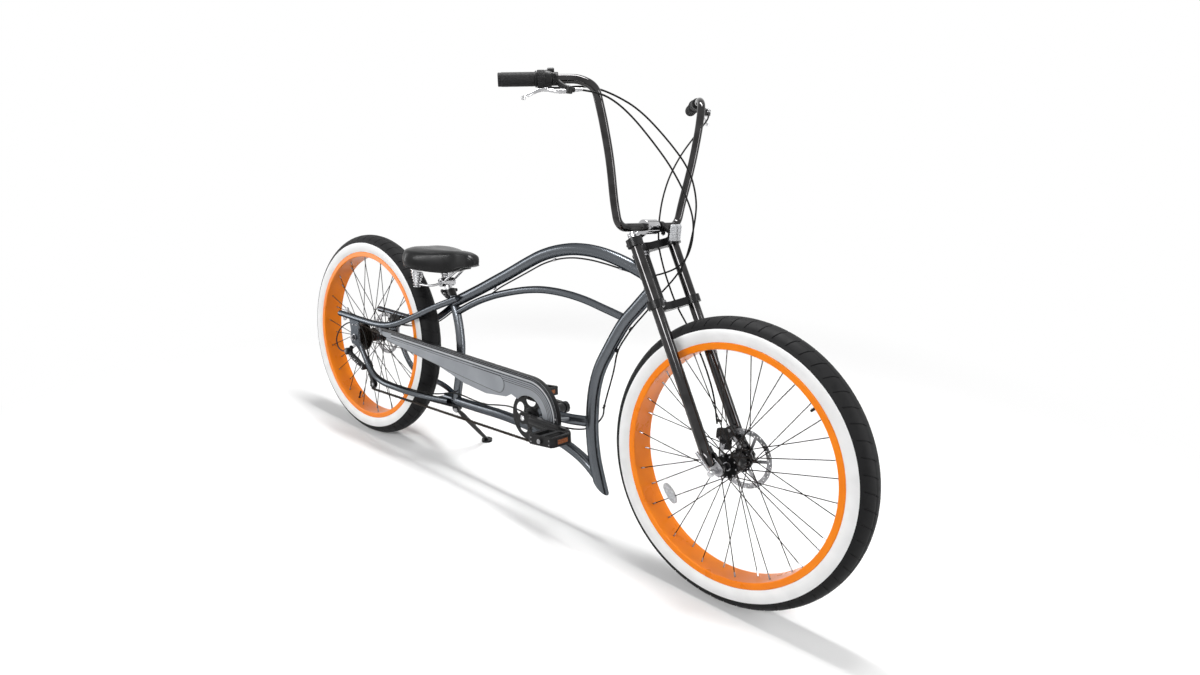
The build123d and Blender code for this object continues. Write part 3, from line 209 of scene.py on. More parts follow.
# two tones, roughness from and to, metallic, patch size, depth and size of the grain, specular
finishTable = {
    "framePaint": ((0.1, 0.108, 0.118), (0.108, 0.116, 0.127), (0.24, 0.28), 1.0, 0.2, 0.004, 0.004, 0.5),
    "blackPaint": ((0.006, 0.006, 0.0065), (0.011, 0.011, 0.0115), (0.22, 0.32), 0, 0.04, 0.08, 0.001, 0.2),
    "orangePaint": ((0.93, 0.222, 0.004), (1.0, 0.262, 0.006), (0.26, 0.36), 0, 0.08, 0.04, 0.001, 0.25),
    "chrome": ((0.4, 0.4, 0.41), (0.52, 0.52, 0.53), (0.05, 0.12), 1.0, 0.03, 0.02, 0.001, 0.5),
    # chrome whose base colour is darkened to stand in for the reflection of dark surroundings: a painted dark
    # reflection
    "chromeWithPaintedDarkReflection": ((0.036, 0.035, 0.035), (0.058, 0.057, 0.058), (0.05, 0.085), 1.0, 0.03, 0.01, 0.001, 0.5),
    "steel": ((0.24, 0.24, 0.25), (0.36, 0.36, 0.37), (0.22, 0.36), 1.0, 0.02, 0.15, 0.0006, 0.5),
    "darkSteel": ((0.022, 0.018, 0.015), (0.045, 0.037, 0.03), (0.28, 0.42), 0.85, 0.015, 0.15, 0.0006, 0.5),
    "blackRubber": ((0.006, 0.006, 0.0065), (0.011, 0.011, 0.0115), (0.5, 0.68), 0, 0.02, 0.35, 0.0009, 0.14),
    "whiteRubber": ((0.84, 0.84, 0.84), (0.9, 0.9, 0.9), (0.38, 0.5), 0, 0.05, 0.12, 0.0012, 0.25),
    "gripRubber": ((0.009, 0.009, 0.0095), (0.018, 0.018, 0.019), (0.5, 0.66), 0, 0.012, 0.5, 0.0011, 0.18),
    "vinyl": ((0.004, 0.004, 0.0043), (0.007, 0.007, 0.0075), (0.26, 0.36), 0, 0.03, 0.22, 0.0011, 0.22),
    "plastic": ((0.007, 0.007, 0.0075), (0.013, 0.013, 0.0135), (0.34, 0.48), 0, 0.02, 0.25, 0.0009, 0.18),
    "guardGrey": ((0.24, 0.255, 0.275), (0.285, 0.3, 0.322), (0.34, 0.44), 0.3, 0.08, 0.12, 0.0008, 0.3),
    "guardPale": ((0.6, 0.605, 0.61), (0.68, 0.685, 0.69), (0.3, 0.4), 0, 0.05, 0.1, 0.0008, 0.3),
    "guardDark": ((0.007, 0.007, 0.0075), (0.012, 0.012, 0.0125), (0.32, 0.44), 0, 0.05, 0.12, 0.0008, 0.18),
    "clearLens": ((0.42, 0.43, 0.45), (0.62, 0.63, 0.65), (0.06, 0.16), 0, 0.006, 0.3, 0.002, 0.6),
    "amberLens": ((0.2, 0.055, 0.012), (0.34, 0.1, 0.02), (0.08, 0.2), 0, 0.005, 0.3, 0.002, 0.6),
    "cableCover": ((0.006, 0.006, 0.006), (0.011, 0.011, 0.011), (0.34, 0.46), 0, 0.02, 0.1, 0.0006, 0.12),
    "spokeBlack": ((0.006, 0.0044, 0.0034), (0.014, 0.01, 0.0076), (0.3, 0.42), 0, 0.02, 0.1, 0.0006, 0.12),
}
finish = {name: makeFinish(name, *row) for name, row in finishTable.items()}
frameShader = finish["framePaint"].node_tree.nodes["Principled BSDF"]
frameShader.inputs["Specular Tint"].default_value = (0.16, 0.17, 0.18, 1.0)
nodeFinish = {
    "framePaint": "arch_tube bottom_bracket_shell bottom_tube bracket_tube chain_stays down_tube dropouts "
    "seat_tube top_tube upper_stays",
    "blackPaint": "crank_left crank_right fork_crowns front_brake_caliper head_tube rear_brake_caliper "
    "seat_clamp side_stand stand_bracket chainring front_hub rear_hub rear_derailleur",
    "orangePaint": "front_rim rear_rim",
    "chrome": "saddle_springs seat_post stem",
    # fork legs, handlebar and steerer get the chrome darkened as a painted dark reflection
    "chromeWithPaintedDarkReflection": "fork_legs handlebar steerer",
    "steel": "front_axle front_brake_rotor rear_axle rear_brake_rotor",
    "darkSteel": "chain crank_spindle rear_sprockets",
    "spokeBlack": "front_spokes rear_spokes",
    "blackRubber": "front_tyre rear_tyre",
    "gripRubber": "grips",
    "vinyl": "saddle",
    "plastic": "brake_levers pedal_left pedal_right twist_shifter",
    "guardGrey": "chain_guard",
    "clearLens": "front_reflector",
    "cableCover": "front_brake_cable rear_brake_cable shift_cable steering_cables",
}
for finishName, nodeNames in nodeFinish.items():
    for nodeName in nodeNames.split():
        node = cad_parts[nodeName]
        node.data.materials.clear()
        node.data.materials.append(finish[finishName])
print("finishes made")


# sizes are in metres, apart from turned profiles, bolts, teeth, pads and mm(), which are in millimetres
def mm(x, y, z):
    return Vector((x / 1000, y / 1000, z / 1000))


def settle(thing, body, finishNames, at=(0, 0, 0)):
    # stands a piece drawn upright, about the point given, in its place on a body
    bpy.context.scene.collection.objects.link(thing)
    for name in finishNames.split():
        thing.data.materials.append(finish[name])
    thing.matrix_world = uprightToFloor @ Matrix.Translation(at)
    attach(thing, body)
    return thing


def meshPiece(name, build, smoothDegrees=35):
    mesh = bpy.data.meshes.new(name)
    bmesh.ops.recalc_face_normals(build, faces=build.faces)
    build.to_mesh(mesh)
    build.free()
    for face in mesh.polygons:
        face.use_smooth = True
    mesh.set_sharp_from_angle(angle=radians(smoothDegrees))
    return bpy.data.objects.new(name, mesh)


def addPiece(name, build, body, finishNames, smoothDegrees=35, at=(0, 0, 0)):
    return settle(meshPiece(name, build, smoothDegrees), body, finishNames, at)


def twoSides(name, build, finishNames, smoothDegrees):
    # a right hand piece of the handlebar and its mirror image
    right = meshPiece(name + "Right", build, smoothDegrees)
    leftMesh = right.data.copy()
    leftMesh.transform(Matrix.Scale(-1, 4, sideways))
    leftMesh.flip_normals()
    left = bpy.data.objects.new(name + "Left", leftMesh)
    settle(right, "steering", finishNames)
    settle(left, "steering", finishNames)
    return right


def crossAxes(direction):
    helper = upward if abs(direction.z) < 0.9 else forward
    first = direction.cross(helper).normalized()
    return first, direction.cross(first).normalized()


def aroundPoint(centre, first, second, radius, steps, flat=1.0):
    turns = [2 * pi * k / steps for k in range(steps)]
    return [centre + first * radius * flat * cos(turn) + second * radius * sin(turn) for turn in turns]


def addRings(build, rings, closeEnds=True, closeLoop=False):
    # skins a row of vertex rings
    rows = [[build.verts.new(point) for point in ring] for ring in rings]
    for low, high in list(zip(rows, rows[1:])) + ([(rows[-1], rows[0])] if closeLoop else []):
        for index in range(len(low)):
            after = (index + 1) % len(low)
            build.faces.new((low[index], low[after], high[after], high[index]))
    if closeEnds and not closeLoop:
        build.faces.new(rows[0])
        build.faces.new(rows[-1])


def addTurned(build, start, axis, profile, steps=32):
    # the profile holds pairs of distance along the axis and radius
    axis = Vector(axis).normalized()
    first, second = crossAxes(axis)
    addRings(build, [
        aroundPoint(Vector(start) + axis * reach / 1000, first, second, radius / 1000, steps)
        for reach, radius in profile
    ])


def addWire(build, points, radius, steps=10, closed=False, flat=1.0):
    # a round wire along points, its section kept from twisting
    points = [Vector(point) for point in points]
    rings = []
    previous = None
    for index, point in enumerate(points):
        before = points[index - 1] if index or closed else point
        after = points[(index + 1) % len(points)] if index + 1 < len(points) or closed else point
        run = (after - before).normalized()
        if previous is None:
            first, second = crossAxes(run)
        else:
            first = (previous - run * previous.dot(run)).normalized()
            second = run.cross(first)
        previous = first
        size = radius[index] if isinstance(radius, list) else radius
        rings.append(aroundPoint(point, first, second, size, steps, flat))
    addRings(build, rings, not closed, closed)


def addBolt(build, at, axis, radius, height, sides=6):
    # a washer, a bevelled head and a recess for the key
    top = height * 1.15
    addTurned(build, at, axis, [(0, radius * 1.35), (height * 0.2, radius * 1.35)], 24)
    head = [(height * 0.2, radius * 1.08), (top * 0.85, radius * 1.08), (top, radius * 0.92)]
    addTurned(build, at, axis, head, sides)
    addTurned(build, at, axis, [(top * 0.9, radius * 0.5), (top * 1.03, radius * 0.45)], 6)


def boxCorners(at, across, length, half):
    signs = ((-1, -1), (1, -1), (1, 1), (-1, 1))
    return [at + across * half[0] / 1000 * a + length * half[1] / 1000 * b for a, b in signs]


def addTooth(build, at, across, length, out, low, high, height):
    # a block that narrows from its foot to its top
    top = at + out * height / 1000
    addRings(build, [boxCorners(at, across, length, low), boxCorners(top, across, length, high)])


def addPrism(build, at, across, length, out, half, height):
    peak = build.verts.new(at + out * height / 1000)
    corners = [build.verts.new(point) for point in boxCorners(at, across, length, (half, half))]
    for here, there in zip(corners, corners[1:] + corners[:1]):
        build.faces.new((here, there, peak))


def roundedLoop(halfWidth, halfHeight, corner, perCorner=5):
    points = []
    for index, (sx, sy) in enumerate(((1, 1), (-1, 1), (-1, -1), (1, -1))):
        for k in range(perCorner):
            angle = pi / 2 * index + pi / 2 * k / (perCorner - 1)
            x = sx * (halfWidth - corner) + corner * cos(angle)
            points.append((x, sy * (halfHeight - corner) + corner * sin(angle)))
    return points


def addPad(build, centre, out, across, length, half, corner, layers, perCorner=5):
    # a block with round corners; each layer is its height along out and its inset
    rings = []
    for height, inset in layers:
        loop = roundedLoop(half[0] - inset, half[1] - inset, corner, perCorner)
        rings.append([centre + (out * height + across * u + length * v) / 1000 for u, v in loop])
    addRings(build, rings)


def smoothLine(points, perRun=8):
    # points along a smooth line through the given ones
    points = [Vector(point) for point in points]
    padded = [points[0] * 2 - points[1]] + points + [points[-1] * 2 - points[-2]]
    line = []
    for before, start, end, after in zip(padded, padded[1:], padded[2:], padded[3:]):
        for step in range(perRun):
            t = step / perRun
            bend = (2 * before - 5 * start + 4 * end - after) * t * t
            twist = (3 * start - before - 3 * end + after) * t * t * t
            line.append(0.5 * (2 * start + (end - before) * t + bend + twist))
    return line + [points[-1]]


def flatPlate(name, outline, holes, thick, bevel):
    # a flat plate in the side view, its face towards the rider's sides
    curve = bpy.data.curves.new(name, "CURVE")
    curve.dimensions = "2D"
    curve.fill_mode = "BOTH"
    curve.extrude = thick / 2 - bevel
    curve.bevel_depth = bevel
    curve.bevel_resolution = 1
    curve.offset = -bevel
    for loop in [outline] + list(holes):
        spline = curve.splines.new("POLY")
        spline.points.add(len(loop) - 1)
        spline.use_cyclic_u = True
        for point, (x, y) in zip(spline.points, loop):
            point.co = (x, y, 0, 1)
    drawn = bpy.data.objects.new(name + "Drawn", curve)
    mesh = bpy.data.meshes.new_from_object(drawn)
    bpy.data.objects.remove(drawn)
    mesh.transform(Matrix(((1, 0, 0, 0), (0, 0, -1, 0), (0, 1, 0, 0), (0, 0, 0, 1))))
    mesh.name = name
    return bpy.data.objects.new(name, mesh)


def onCircle(centre, radius, angle):
    return centre[0] + radius * cos(angle), centre[1] + radius * sin(angle)


def circlePoints(centre, radius, count):
    return [onCircle(centre, radius, 2 * pi * k / count) for k in range(count)]


def arcPoints(centre, radius, start, end, count):
    return [onCircle(centre, radius, start + (end - start) * k / (count - 1)) for k in range(count)]


# tyres: white walls, smooth shoulders and cut tread blocks
tyre = {
    "ringRadius": 0.338, "sectionRadius": 0.042, "rimRadius": 0.3172, "whiteEdge": 0.3518, "skin": 0.0002,
    "blocks": 58, "grooveDepth": 0.0019, "slant": 0.052, "treadDegrees": 58, "centreDegrees": 9,
    "wallDepth": 0.0003, "lineDepth": 0.0012, "line": (0.2, 0.26),
    "columns": (0.0, 0.018, 0.062, 0.08, 0.35, 0.65),
}


def makeTyre(name, body, centre):
    section = tyre["sectionRadius"] + tyre["skin"]
    ring = tyre["ringRadius"]
    tread, middle = radians(tyre["treadDegrees"]), radians(tyre["centreDegrees"])
    low = asin((tyre["rimRadius"] - ring) / section)
    white = asin((tyre["whiteEdge"] - ring) / section)
    shoulder = radians(90 - tyre["treadDegrees"])
    wall = [low, low + 0.1, low + 0.28, low + 0.5, white - 0.06, white - 0.012, white, white + 0.05]
    band = [white + 0.2, shoulder - 0.09, shoulder - 0.02]
    half = wall + band + [shoulder + (pi / 2 - shoulder) * k / 12 for k in range(13)]
    rows = half + [pi - angle for angle in reversed(half[:-1])]
    turn = 2 * pi / tyre["blocks"]
    rings = []
    for angle in rows:
        fromCrown = abs(pi / 2 - angle)
        onTread = fromCrown < tread + 0.001
        lean = tyre["slant"] * (max(0.0, fromCrown - middle) / tread) ** 0.7
        plain = 0.0 if onTread or angle in rows[:6] else tyre["wallDepth"]
        points = []
        for block in range(tyre["blocks"]):
            for index, share in enumerate(tyre["columns"]):
                grooved = onTread and fromCrown > middle and index in (1, 2)
                size = section - (tyre["grooveDepth"] if grooved else plain)
                if tyre["line"][0] < fromCrown < tyre["line"][1]:
                    size -= tyre["lineDepth"]
                around = (block + share) * turn + lean
                radius = ring + size * sin(angle)
                points.append((radius * cos(around), size * cos(angle), radius * sin(around)))
        rings.append(points)
    build = bmesh.new()
    addRings(build, rings, closeEnds=False)
    whiteRows = len(wall) - 3
    for index, face in enumerate(build.faces):
        row = index // len(rings[0])
        face.material_index = 1 if row < whiteRows or row >= len(rows) - 1 - whiteRows else 0
    piece = addPiece(name + "Skin", build, body, "blackRubber whiteRubber", 32, at=centre)
    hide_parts(name)


makeTyre("front_tyre", "front_wheel", frontAxle)
makeTyre("rear_tyre", "rear_wheel", rearAxle)
print("tyres made")

# wheels: spokes, nipples, spoke heads, valves, hubs and spoke reflectors
wheel = {
    "spokes": 36, "turnDegrees": 60, "spokeRadius": 0.00135, "rimInner": 0.299, "nippleSide": 0.014,
    "flangeRadius": 0.027, "flangeSide": 0.031, "rotorSide": 0.052, "crossing": (0.0028, 0.0040),
    "nipple": [(0, 1.43), (1, 2.08), (10.5, 2.21), (11.5, 2.6), (13.2, 2.6)],
    "head": [(0, 2.2), (1.2, 2.2), (2, 1.2)],
    "valve": [(-2, 4.6), (2, 4.6), (3, 2.8), (18, 2.8), (18.5, 3.6), (30, 3.6), (31.5, 2.6)],
    "hubRing": [(0, 11.8), (1.4, 11.6), (1.4, 9.4), (0, 9.2)],
    "hubBody": [(0, 22.2), (3, 22.8), (7, 23.6), (12, 23.6), (14.5, 25.2), (28, 26.2), (46, 26.4), (52, 25.6),
                (55, 23.6), (57, 22.2)],
    "flange": [(0, 30.8), (0.8, 31.2), (0.8, 28.8), (0, 28.4)],
}
spokeLens = {
    "halfLength": 0.031, "halfWidth": 0.0135,
    "layers": ((-0.006, 0.9), (-0.0045, 1.0), (0.0015, 1.0), (0.003, 0.94)),
    "ribGap": 0.0072, "ribHalf": 0.0085, "ribDepth": 0.0062, "ribRadius": 0.0011,
}


def spokeLine(side, index):
    # the spoke from its flange to its rim, about the wheel's middle
    step = 2 * pi / (wheel["spokes"] // 2)
    lead = 1 if index % 2 else -1
    hubAngle = index * step + (side + 1) * step / 4
    rimAngle = hubAngle + lead * radians(wheel["turnDegrees"])
    hubY = side * wheel["flangeSide"] + lead * wheel["crossing"][lead == side]
    start = Vector((wheel["flangeRadius"] * cos(hubAngle), hubY, wheel["flangeRadius"] * sin(hubAngle)))
    reach = wheel["rimInner"]
    return start, Vector((reach * cos(rimAngle), side * wheel["nippleSide"], reach * sin(rimAngle)))


def makeSpokeLens(index, share):
    # the clear reflector clipped between two spokes
    start, end = spokeLine(-1, index)
    nextStart, nextEnd = spokeLine(-1, index + 2)
    middle = (start.lerp(end, share) + nextStart.lerp(nextEnd, share)) / 2
    run = ((end - start) + (nextEnd - nextStart)).normalized()
    across = run.cross(sideways).normalized()
    outline = []
    for k in range(28):
        reach = cos(2 * pi * k / 28)
        reach *= spokeLens["halfLength"] * (1 if abs(reach) < 0.9 else 0.985)
        outline.append(across * reach + run * spokeLens["halfWidth"] * sin(2 * pi * k / 28))
    build = bmesh.new()
    addRings(build, [
        [middle + point * scale + sideways * height for point in outline]
        for height, scale in spokeLens["layers"]
    ])
    for k in range(-3, 4):
        rib = middle + across * k * spokeLens["ribGap"] - sideways * spokeLens["ribDepth"]
        ends = [rib + run * reach for reach in (-spokeLens["ribHalf"], spokeLens["ribHalf"])]
        addWire(build, ends, spokeLens["ribRadius"], 6)
    return build


def dressWheel(prefix, body, centre, valveDegrees, reflectorIndex, reflectorShare):
    wires, nipples, heads = bmesh.new(), bmesh.new(), bmesh.new()
    for side in (-1, 1):
        for index in range(wheel["spokes"] // 2):
            start, end = spokeLine(side, index)
            run = (end - start).normalized()
            addWire(wires, [start, end - run * 0.004], wheel["spokeRadius"], 8)
            addTurned(nipples, end - run * 0.013, run, wheel["nipple"], 8)
            outward = sideways * (1 if start.y > side * wheel["flangeSide"] else -1)
            addTurned(heads, start - outward * 0.0002, outward, wheel["head"], 10)
    piece = addPiece(prefix + "SpokeWires", wires, body, "spokeBlack", 50, at=centre)
    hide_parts(prefix + "_spokes")
    addPiece(prefix + "Nipples", nipples, body, "steel", at=centre)
    addPiece(prefix + "SpokeHeads", heads, body, "steel", at=centre)

    valve, rings, barrel = bmesh.new(), bmesh.new(), bmesh.new()
    angle = radians(valveDegrees)
    inward = Vector((-cos(angle), 0, -sin(angle)))
    addTurned(valve, -inward * wheel["rimInner"], inward, wheel["valve"], 16)
    addTurned(barrel, mm(0, -28.5, 0), sideways, wheel["hubBody"], 48)  # swells between its flanges
    for side in (-1, 1):
        addTurned(rings, mm(0, side * 34, 0), sideways * side, wheel["hubRing"], 40)
        addTurned(barrel, mm(0, side * 32.6, 0), sideways * side, wheel["flange"], 48)
    addPiece(prefix + "Valve", valve, body, "plastic", at=centre)
    addPiece(prefix + "HubRings", rings, body, "steel", at=centre)
    addPiece(prefix + "HubBody", barrel, body, "blackPaint", 40, at=centre)
    lens = makeSpokeLens(reflectorIndex, reflectorShare)
    addPiece(prefix + "SpokeReflector", lens, body, "clearLens", at=centre)


dressWheel("front", "front_wheel", frontAxle, 46, 7, 0.78)
dressWheel("rear", "rear_wheel", rearAxle, 250, 10, 0.6)

rotor = {
    "ring": 0.080, "ringInner": 0.0655, "hub": 0.026, "arms": 6, "armWidth": 0.0085, "twist": 0.16,
    "thick": 0.0019, "holes": 54, "holeRows": (0.0765, 0.0728, 0.0691), "holeRadius": 0.0017, "bore": 0.0093,
    "boltCircle": 0.0195,
}


def makeRotor(name, body, centre):
    bore = circlePoints((0, 0), rotor["bore"], 24)
    inset = rotor["armWidth"] / 2
    outerHalf = pi / rotor["arms"] - inset / rotor["ringInner"]
    innerHalf = pi / rotor["arms"] - inset / rotor["hub"]
    windows = []
    for arm in range(rotor["arms"]):
        middle = radians(30) + 2 * pi * arm / rotor["arms"]
        outer = middle + rotor["twist"]
        windows.append(
            arcPoints((0, 0), rotor["ringInner"], outer - outerHalf, outer + outerHalf, 14)
            + arcPoints((0, 0), rotor["hub"], middle + innerHalf, middle - innerHalf, 8)
        )
    drilled = []
    for index in range(rotor["holes"]):
        middle = onCircle((0, 0), rotor["holeRows"][index % 3], 2 * pi * index / rotor["holes"])
        drilled.append(circlePoints(middle, rotor["holeRadius"], 8))
    edge = circlePoints((0, 0), rotor["ring"], 120)
    plate = flatPlate(name + "Plate", edge, windows + drilled + [bore], rotor["thick"], 0.0002)
    plate.data.transform(Matrix.Translation((0, wheel["rotorSide"], 0)))
    settle(plate, body, "steel", at=centre)
    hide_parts(name)
    bolts = bmesh.new()
    for x, z in circlePoints((0, 0), rotor["boltCircle"], 6):
        addBolt(bolts, Vector((x, wheel["rotorSide"] + rotor["thick"] / 2, z)), sideways, 2.6, 2.2, 12)
    addPiece(name + "Bolts", bolts, body, "darkSteel", at=centre)


makeRotor("front_brake_rotor", "front_wheel", frontAxle)
makeRotor("rear_brake_rotor", "rear_wheel", rearAxle)
print("wheels dressed")

# chain: plates, rollers and pins along the run of the drive
drive = {
    "pitch": 0.0127, "ringTeeth": 40, "rearTeeth": 20, "chainSide": -0.062, "pulleyPath": 0.0208,
    "bracket": (0.930, 0.326), "guide": (0.056, 0.276), "tension": (0.094, 0.216),
    "plateHalf": 0.0041, "waistHalf": 0.0031, "plateSides": (0.00345, 0.0025), "plateThick": 0.0009,
    "roller": [(0, 3.8), (4.2, 3.8)], "pin": [(0, 1.36), (0.4, 1.7), (8.2, 1.7), (8.6, 1.36)],
}
bracket = Vector((drive["bracket"][0], 0, drive["bracket"][1]))


def pitchRadius(teeth):
    return drive["pitch"] / (2 * sin(pi / teeth))


def tangent(first, firstRadius, second, secondRadius, side, crossed=False):
    # where a line touches two circles
    run = atan2(second[1] - first[1], second[0] - first[0])
    gap = hypot(second[0] - first[0], second[1] - first[1])
    reach = secondRadius + firstRadius if crossed else secondRadius - firstRadius
    angle = run + side * (pi / 2 - asin(reach / gap))
    other = angle + pi if crossed else angle
    return onCircle(first, firstRadius, angle), onCircle(second, secondRadius, other)


def arcBetween(centre, start, end, clockwise=True):
    first = atan2(start[1] - centre[1], start[0] - centre[0])
    last = atan2(end[1] - centre[1], end[0] - centre[0])
    if clockwise and last > first:
        last -= 2 * pi
    if not clockwise and last < first:
        last += 2 * pi
    return arcPoints(centre, hypot(start[0] - centre[0], start[1] - centre[1]), first, last, 60)


def chainRoute():
    ring, rear, pulley = pitchRadius(drive["ringTeeth"]), pitchRadius(drive["rearTeeth"]), drive["pulleyPath"]
    rearAt, ringAt = (0, stance["axleHeight"]), drive["bracket"]
    guide, tension = drive["guide"], drive["tension"]
    upperRear, upperFront = tangent(rearAt, rear, ringAt, ring, 1)
    lowerFront, lowerRear = tangent(ringAt, ring, tension, pulley, 1)
    tensionOut, guideIn = tangent(tension, pulley, guide, pulley, 1, True)
    guideOut, rearIn = tangent(guide, pulley, rearAt, rear, -1, True)
    return (
        arcBetween(ringAt, upperFront, lowerFront) + arcBetween(tension, lowerRear, tensionOut)
        + arcBetween(guide, guideIn, guideOut, False) + arcBetween(rearAt, rearIn, upperRear)
    )


def evenSteps(route, ringStart):
    # points one pitch apart round the closed route, the first on the chainring between two teeth
    lengths = [0.0]
    closed = route + [route[0]]
    for here, there in zip(closed, closed[1:]):
        lengths.append(lengths[-1] + hypot(there[0] - here[0], there[1] - here[1]))
    count = round(lengths[-1] / drive["pitch"])
    points = []
    segment = 0
    for index in range(count):
        target = (ringStart + index * lengths[-1] / count) % lengths[-1]
        segment = 0 if target < lengths[segment] else segment
        while lengths[segment + 1] < target:
            segment += 1
        share = (target - lengths[segment]) / (lengths[segment + 1] - lengths[segment])
        here, there = closed[segment], closed[segment + 1]
        points.append((here[0] + (there[0] - here[0]) * share, here[1] + (there[1] - here[1]) * share))
    return points


def addLink(build, here, there, side):
    run = Vector((there[0] - here[0], 0, there[1] - here[1]))
    length = run.length
    run.normalize()
    across = Vector((-run.z, 0, run.x))
    start = Vector((here[0], drive["chainSide"], here[1]))
    outline = []
    for end, sign in ((0.0, -1), (length, 1)):
        for step in range(6):
            angle = pi / 2 - pi * step / 5
            point = start + run * (end + sign * drive["plateHalf"] * cos(angle))
            outline.append(point - across * sign * drive["plateHalf"] * sin(angle))
        outline.append(start + run * (length / 2) - across * sign * drive["waistHalf"])
    faces = (side - drive["plateThick"] / 2, side + drive["plateThick"] / 2)
    for face in (-1, 1):
        addRings(build, [[point + sideways * face * value for point in outline] for value in faces])
    addTurned(build, start - sideways * 0.0021, sideways, drive["roller"], 10)
    addTurned(build, start - sideways * 0.0043, sideways, drive["pin"], 8)


route = chainRoute()
startAngle = atan2(route[0][1] - bracket.z, route[0][0] - bracket.x)
tooth = 2 * pi / drive["ringTeeth"]
firstRoller = (startAngle // tooth) * tooth - tooth / 2
pins = evenSteps(route, (startAngle - firstRoller) * pitchRadius(drive["ringTeeth"]))
build = bmesh.new()
for index, here in enumerate(pins):
    addLink(build, here, pins[(index + 1) % len(pins)], drive["plateSides"][index % 2])
chainLinks = addPiece("chainLinks", build, "frame", "darkSteel")
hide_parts("chain")
print("chain made,", len(pins), "links")

# saddle: a padded vinyl shell with a top panel and a skirt, its hem, and the clip under its nose
saddle = {
    "rear": 0.282, "floor": 0.693, "length": 0.291, "halfWidth": 0.118, "height": 0.074, "steps": 44,
    # share of the length, then half width, lower edge and crown as shares
    "sections": (
        (0.0, 0.60, 0.28, 0.88), (0.06, 0.83, 0.1, 0.96), (0.19, 1.0, -0.02, 1.0),
        (0.36, 0.88, -0.06, 1.0), (0.52, 0.54, -0.08, 1.02), (0.68, 0.31, 0.08, 1.06),
        (0.84, 0.25, 0.34, 1.07), (0.94, 0.215, 0.43, 1.0), (1.0, 0.15, 0.5, 0.86),
    ),
    "panel": 0.62, "dish": 0.0025, "hemRadius": 0.0018, "fill": 0.85, "clipHeight": 0.7165,
    # the clip: place along the bicycle, half width and half height
    "clip": ((0.498, 0.010, 0.007), (0.501, 0.0125, 0.0095), (0.534, 0.0115, 0.0095), (0.539, 0.009, 0.006)),
}


def shareAt(along, column):
    # a smooth value between the saddle's sections
    rows = saddle["sections"]
    index = next(index for index, row in enumerate(rows[1:]) if along <= row[0])
    low, high = rows[index], rows[index + 1]
    before, after = rows[max(index - 1, 0)], rows[min(index + 2, len(rows) - 1)]
    span = high[0] - low[0]
    t = (along - low[0]) / span
    slopeLow = (high[column] - before[column]) / (high[0] - before[0]) * span
    slopeHigh = (after[column] - low[column]) / (after[0] - low[0]) * span
    return (
        (2 * t**3 - 3 * t**2 + 1) * low[column] + (t**3 - 2 * t**2 + t) * slopeLow
        + (-2 * t**3 + 3 * t**2) * high[column] + (t**3 - t**2) * slopeHigh
    )


def saddlePoint(along, around):
    # around runs from -1, the left lower edge, over the crown to 1
    half = shareAt(along, 1) * saddle["halfWidth"]
    crown = shareAt(along, 3) * saddle["height"]
    tall = crown - shareAt(along, 2) * saddle["height"]
    reach = abs(around)
    if reach < saddle["panel"]:  # the top panel
        share = reach / saddle["panel"]
        y = half * 0.9 * share**0.96
        z = crown - tall * 0.17 * share**2.6
        z -= saddle["dish"] * max(0.0, 1 - share * 1.7) * (1 if along < 0.7 else 0.3)
    else:  # the skirt
        share = (reach - saddle["panel"]) / (1 - saddle["panel"])
        y = half * (0.9 + 0.1 * sin(pi * min(share * 0.9, 1)) - 0.06 * share**2)
        z = crown - tall * (0.17 + 0.83 * share)
    side = 1 if around > 0 else -1
    return Vector((saddle["rear"] + along * saddle["length"], y * side, saddle["floor"] + z))


def roundedEnd(share):
    return sqrt(max(0.0, 1 - (1 - min(share, 1)) ** 2))


def saddleRows():
    steps = saddle["steps"]
    rows = []
    for along in [0.5 - 0.5 * cos(pi * k / steps) for k in range(steps + 1)]:
        back, nose = roundedEnd(along / 0.09), roundedEnd((1 - along) / 0.07)
        pinch = 0.55 + 0.45 * back if along < 0.5 else 0.35 + 0.65 * nose
        middle, low = saddlePoint(along, 0), saddlePoint(along, 1)
        core = Vector((middle.x, 0, middle.z * 0.45 + low.z * 0.55))
        arounds = [-1 + 2 * k / steps for k in range(steps + 1)]
        rows.append([core + (saddlePoint(along, around) - core) * pinch for around in arounds])
    return rows


rows = saddleRows()
build = bmesh.new()
addRings(build, rows)
shell = addPiece("saddleShell", build, "frame", "vinyl", 60)
rounder = shell.modifiers.new("round", "SUBSURF")
rounder.levels = rounder.render_levels = 1
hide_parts("saddle")
build = bmesh.new()
hemLine = [row[1] for row in rows] + [row[-2] for row in reversed(rows)]
addWire(build, hemLine, saddle["hemRadius"], 8, closed=True)
addPiece("saddleHem", build, "frame", "vinyl", 60)
build = bmesh.new()
rings = []
for x, half, tall in saddle["clip"]:
    rise = saddle["clipHeight"] + (x - 0.5) * 0.25
    rings.append([Vector((x, y, rise + z)) for y, z in roundedLoop(half, tall, 0.004, 4)])
addRings(build, rings)
addPiece("saddleNoseClip", build, "frame", "plastic")

springs = {"back": 0.339, "side": 0.062, "top": 0.681, "bottom": 0.631, "wide": 0.0212, "narrow": 0.0095,
           "wire": 0.0021, "turns": 5}
build = bmesh.new()
for side in (-1, 1):
    line = []
    steps = springs["turns"] * 24
    for k in range(steps + 1):
        share = k / steps
        radius = springs["wide"] + (springs["narrow"] - springs["wide"]) * share
        turn = 2 * pi * springs["turns"] * share * side
        x, y = onCircle((springs["back"], side * springs["side"]), radius, turn)
        line.append((x, y, springs["top"] + (springs["bottom"] - springs["top"]) * share))
    addWire(build, line, springs["wire"], 8)
addPiece("saddleCoils", build, "frame", "chrome", 60)
print("saddle made")

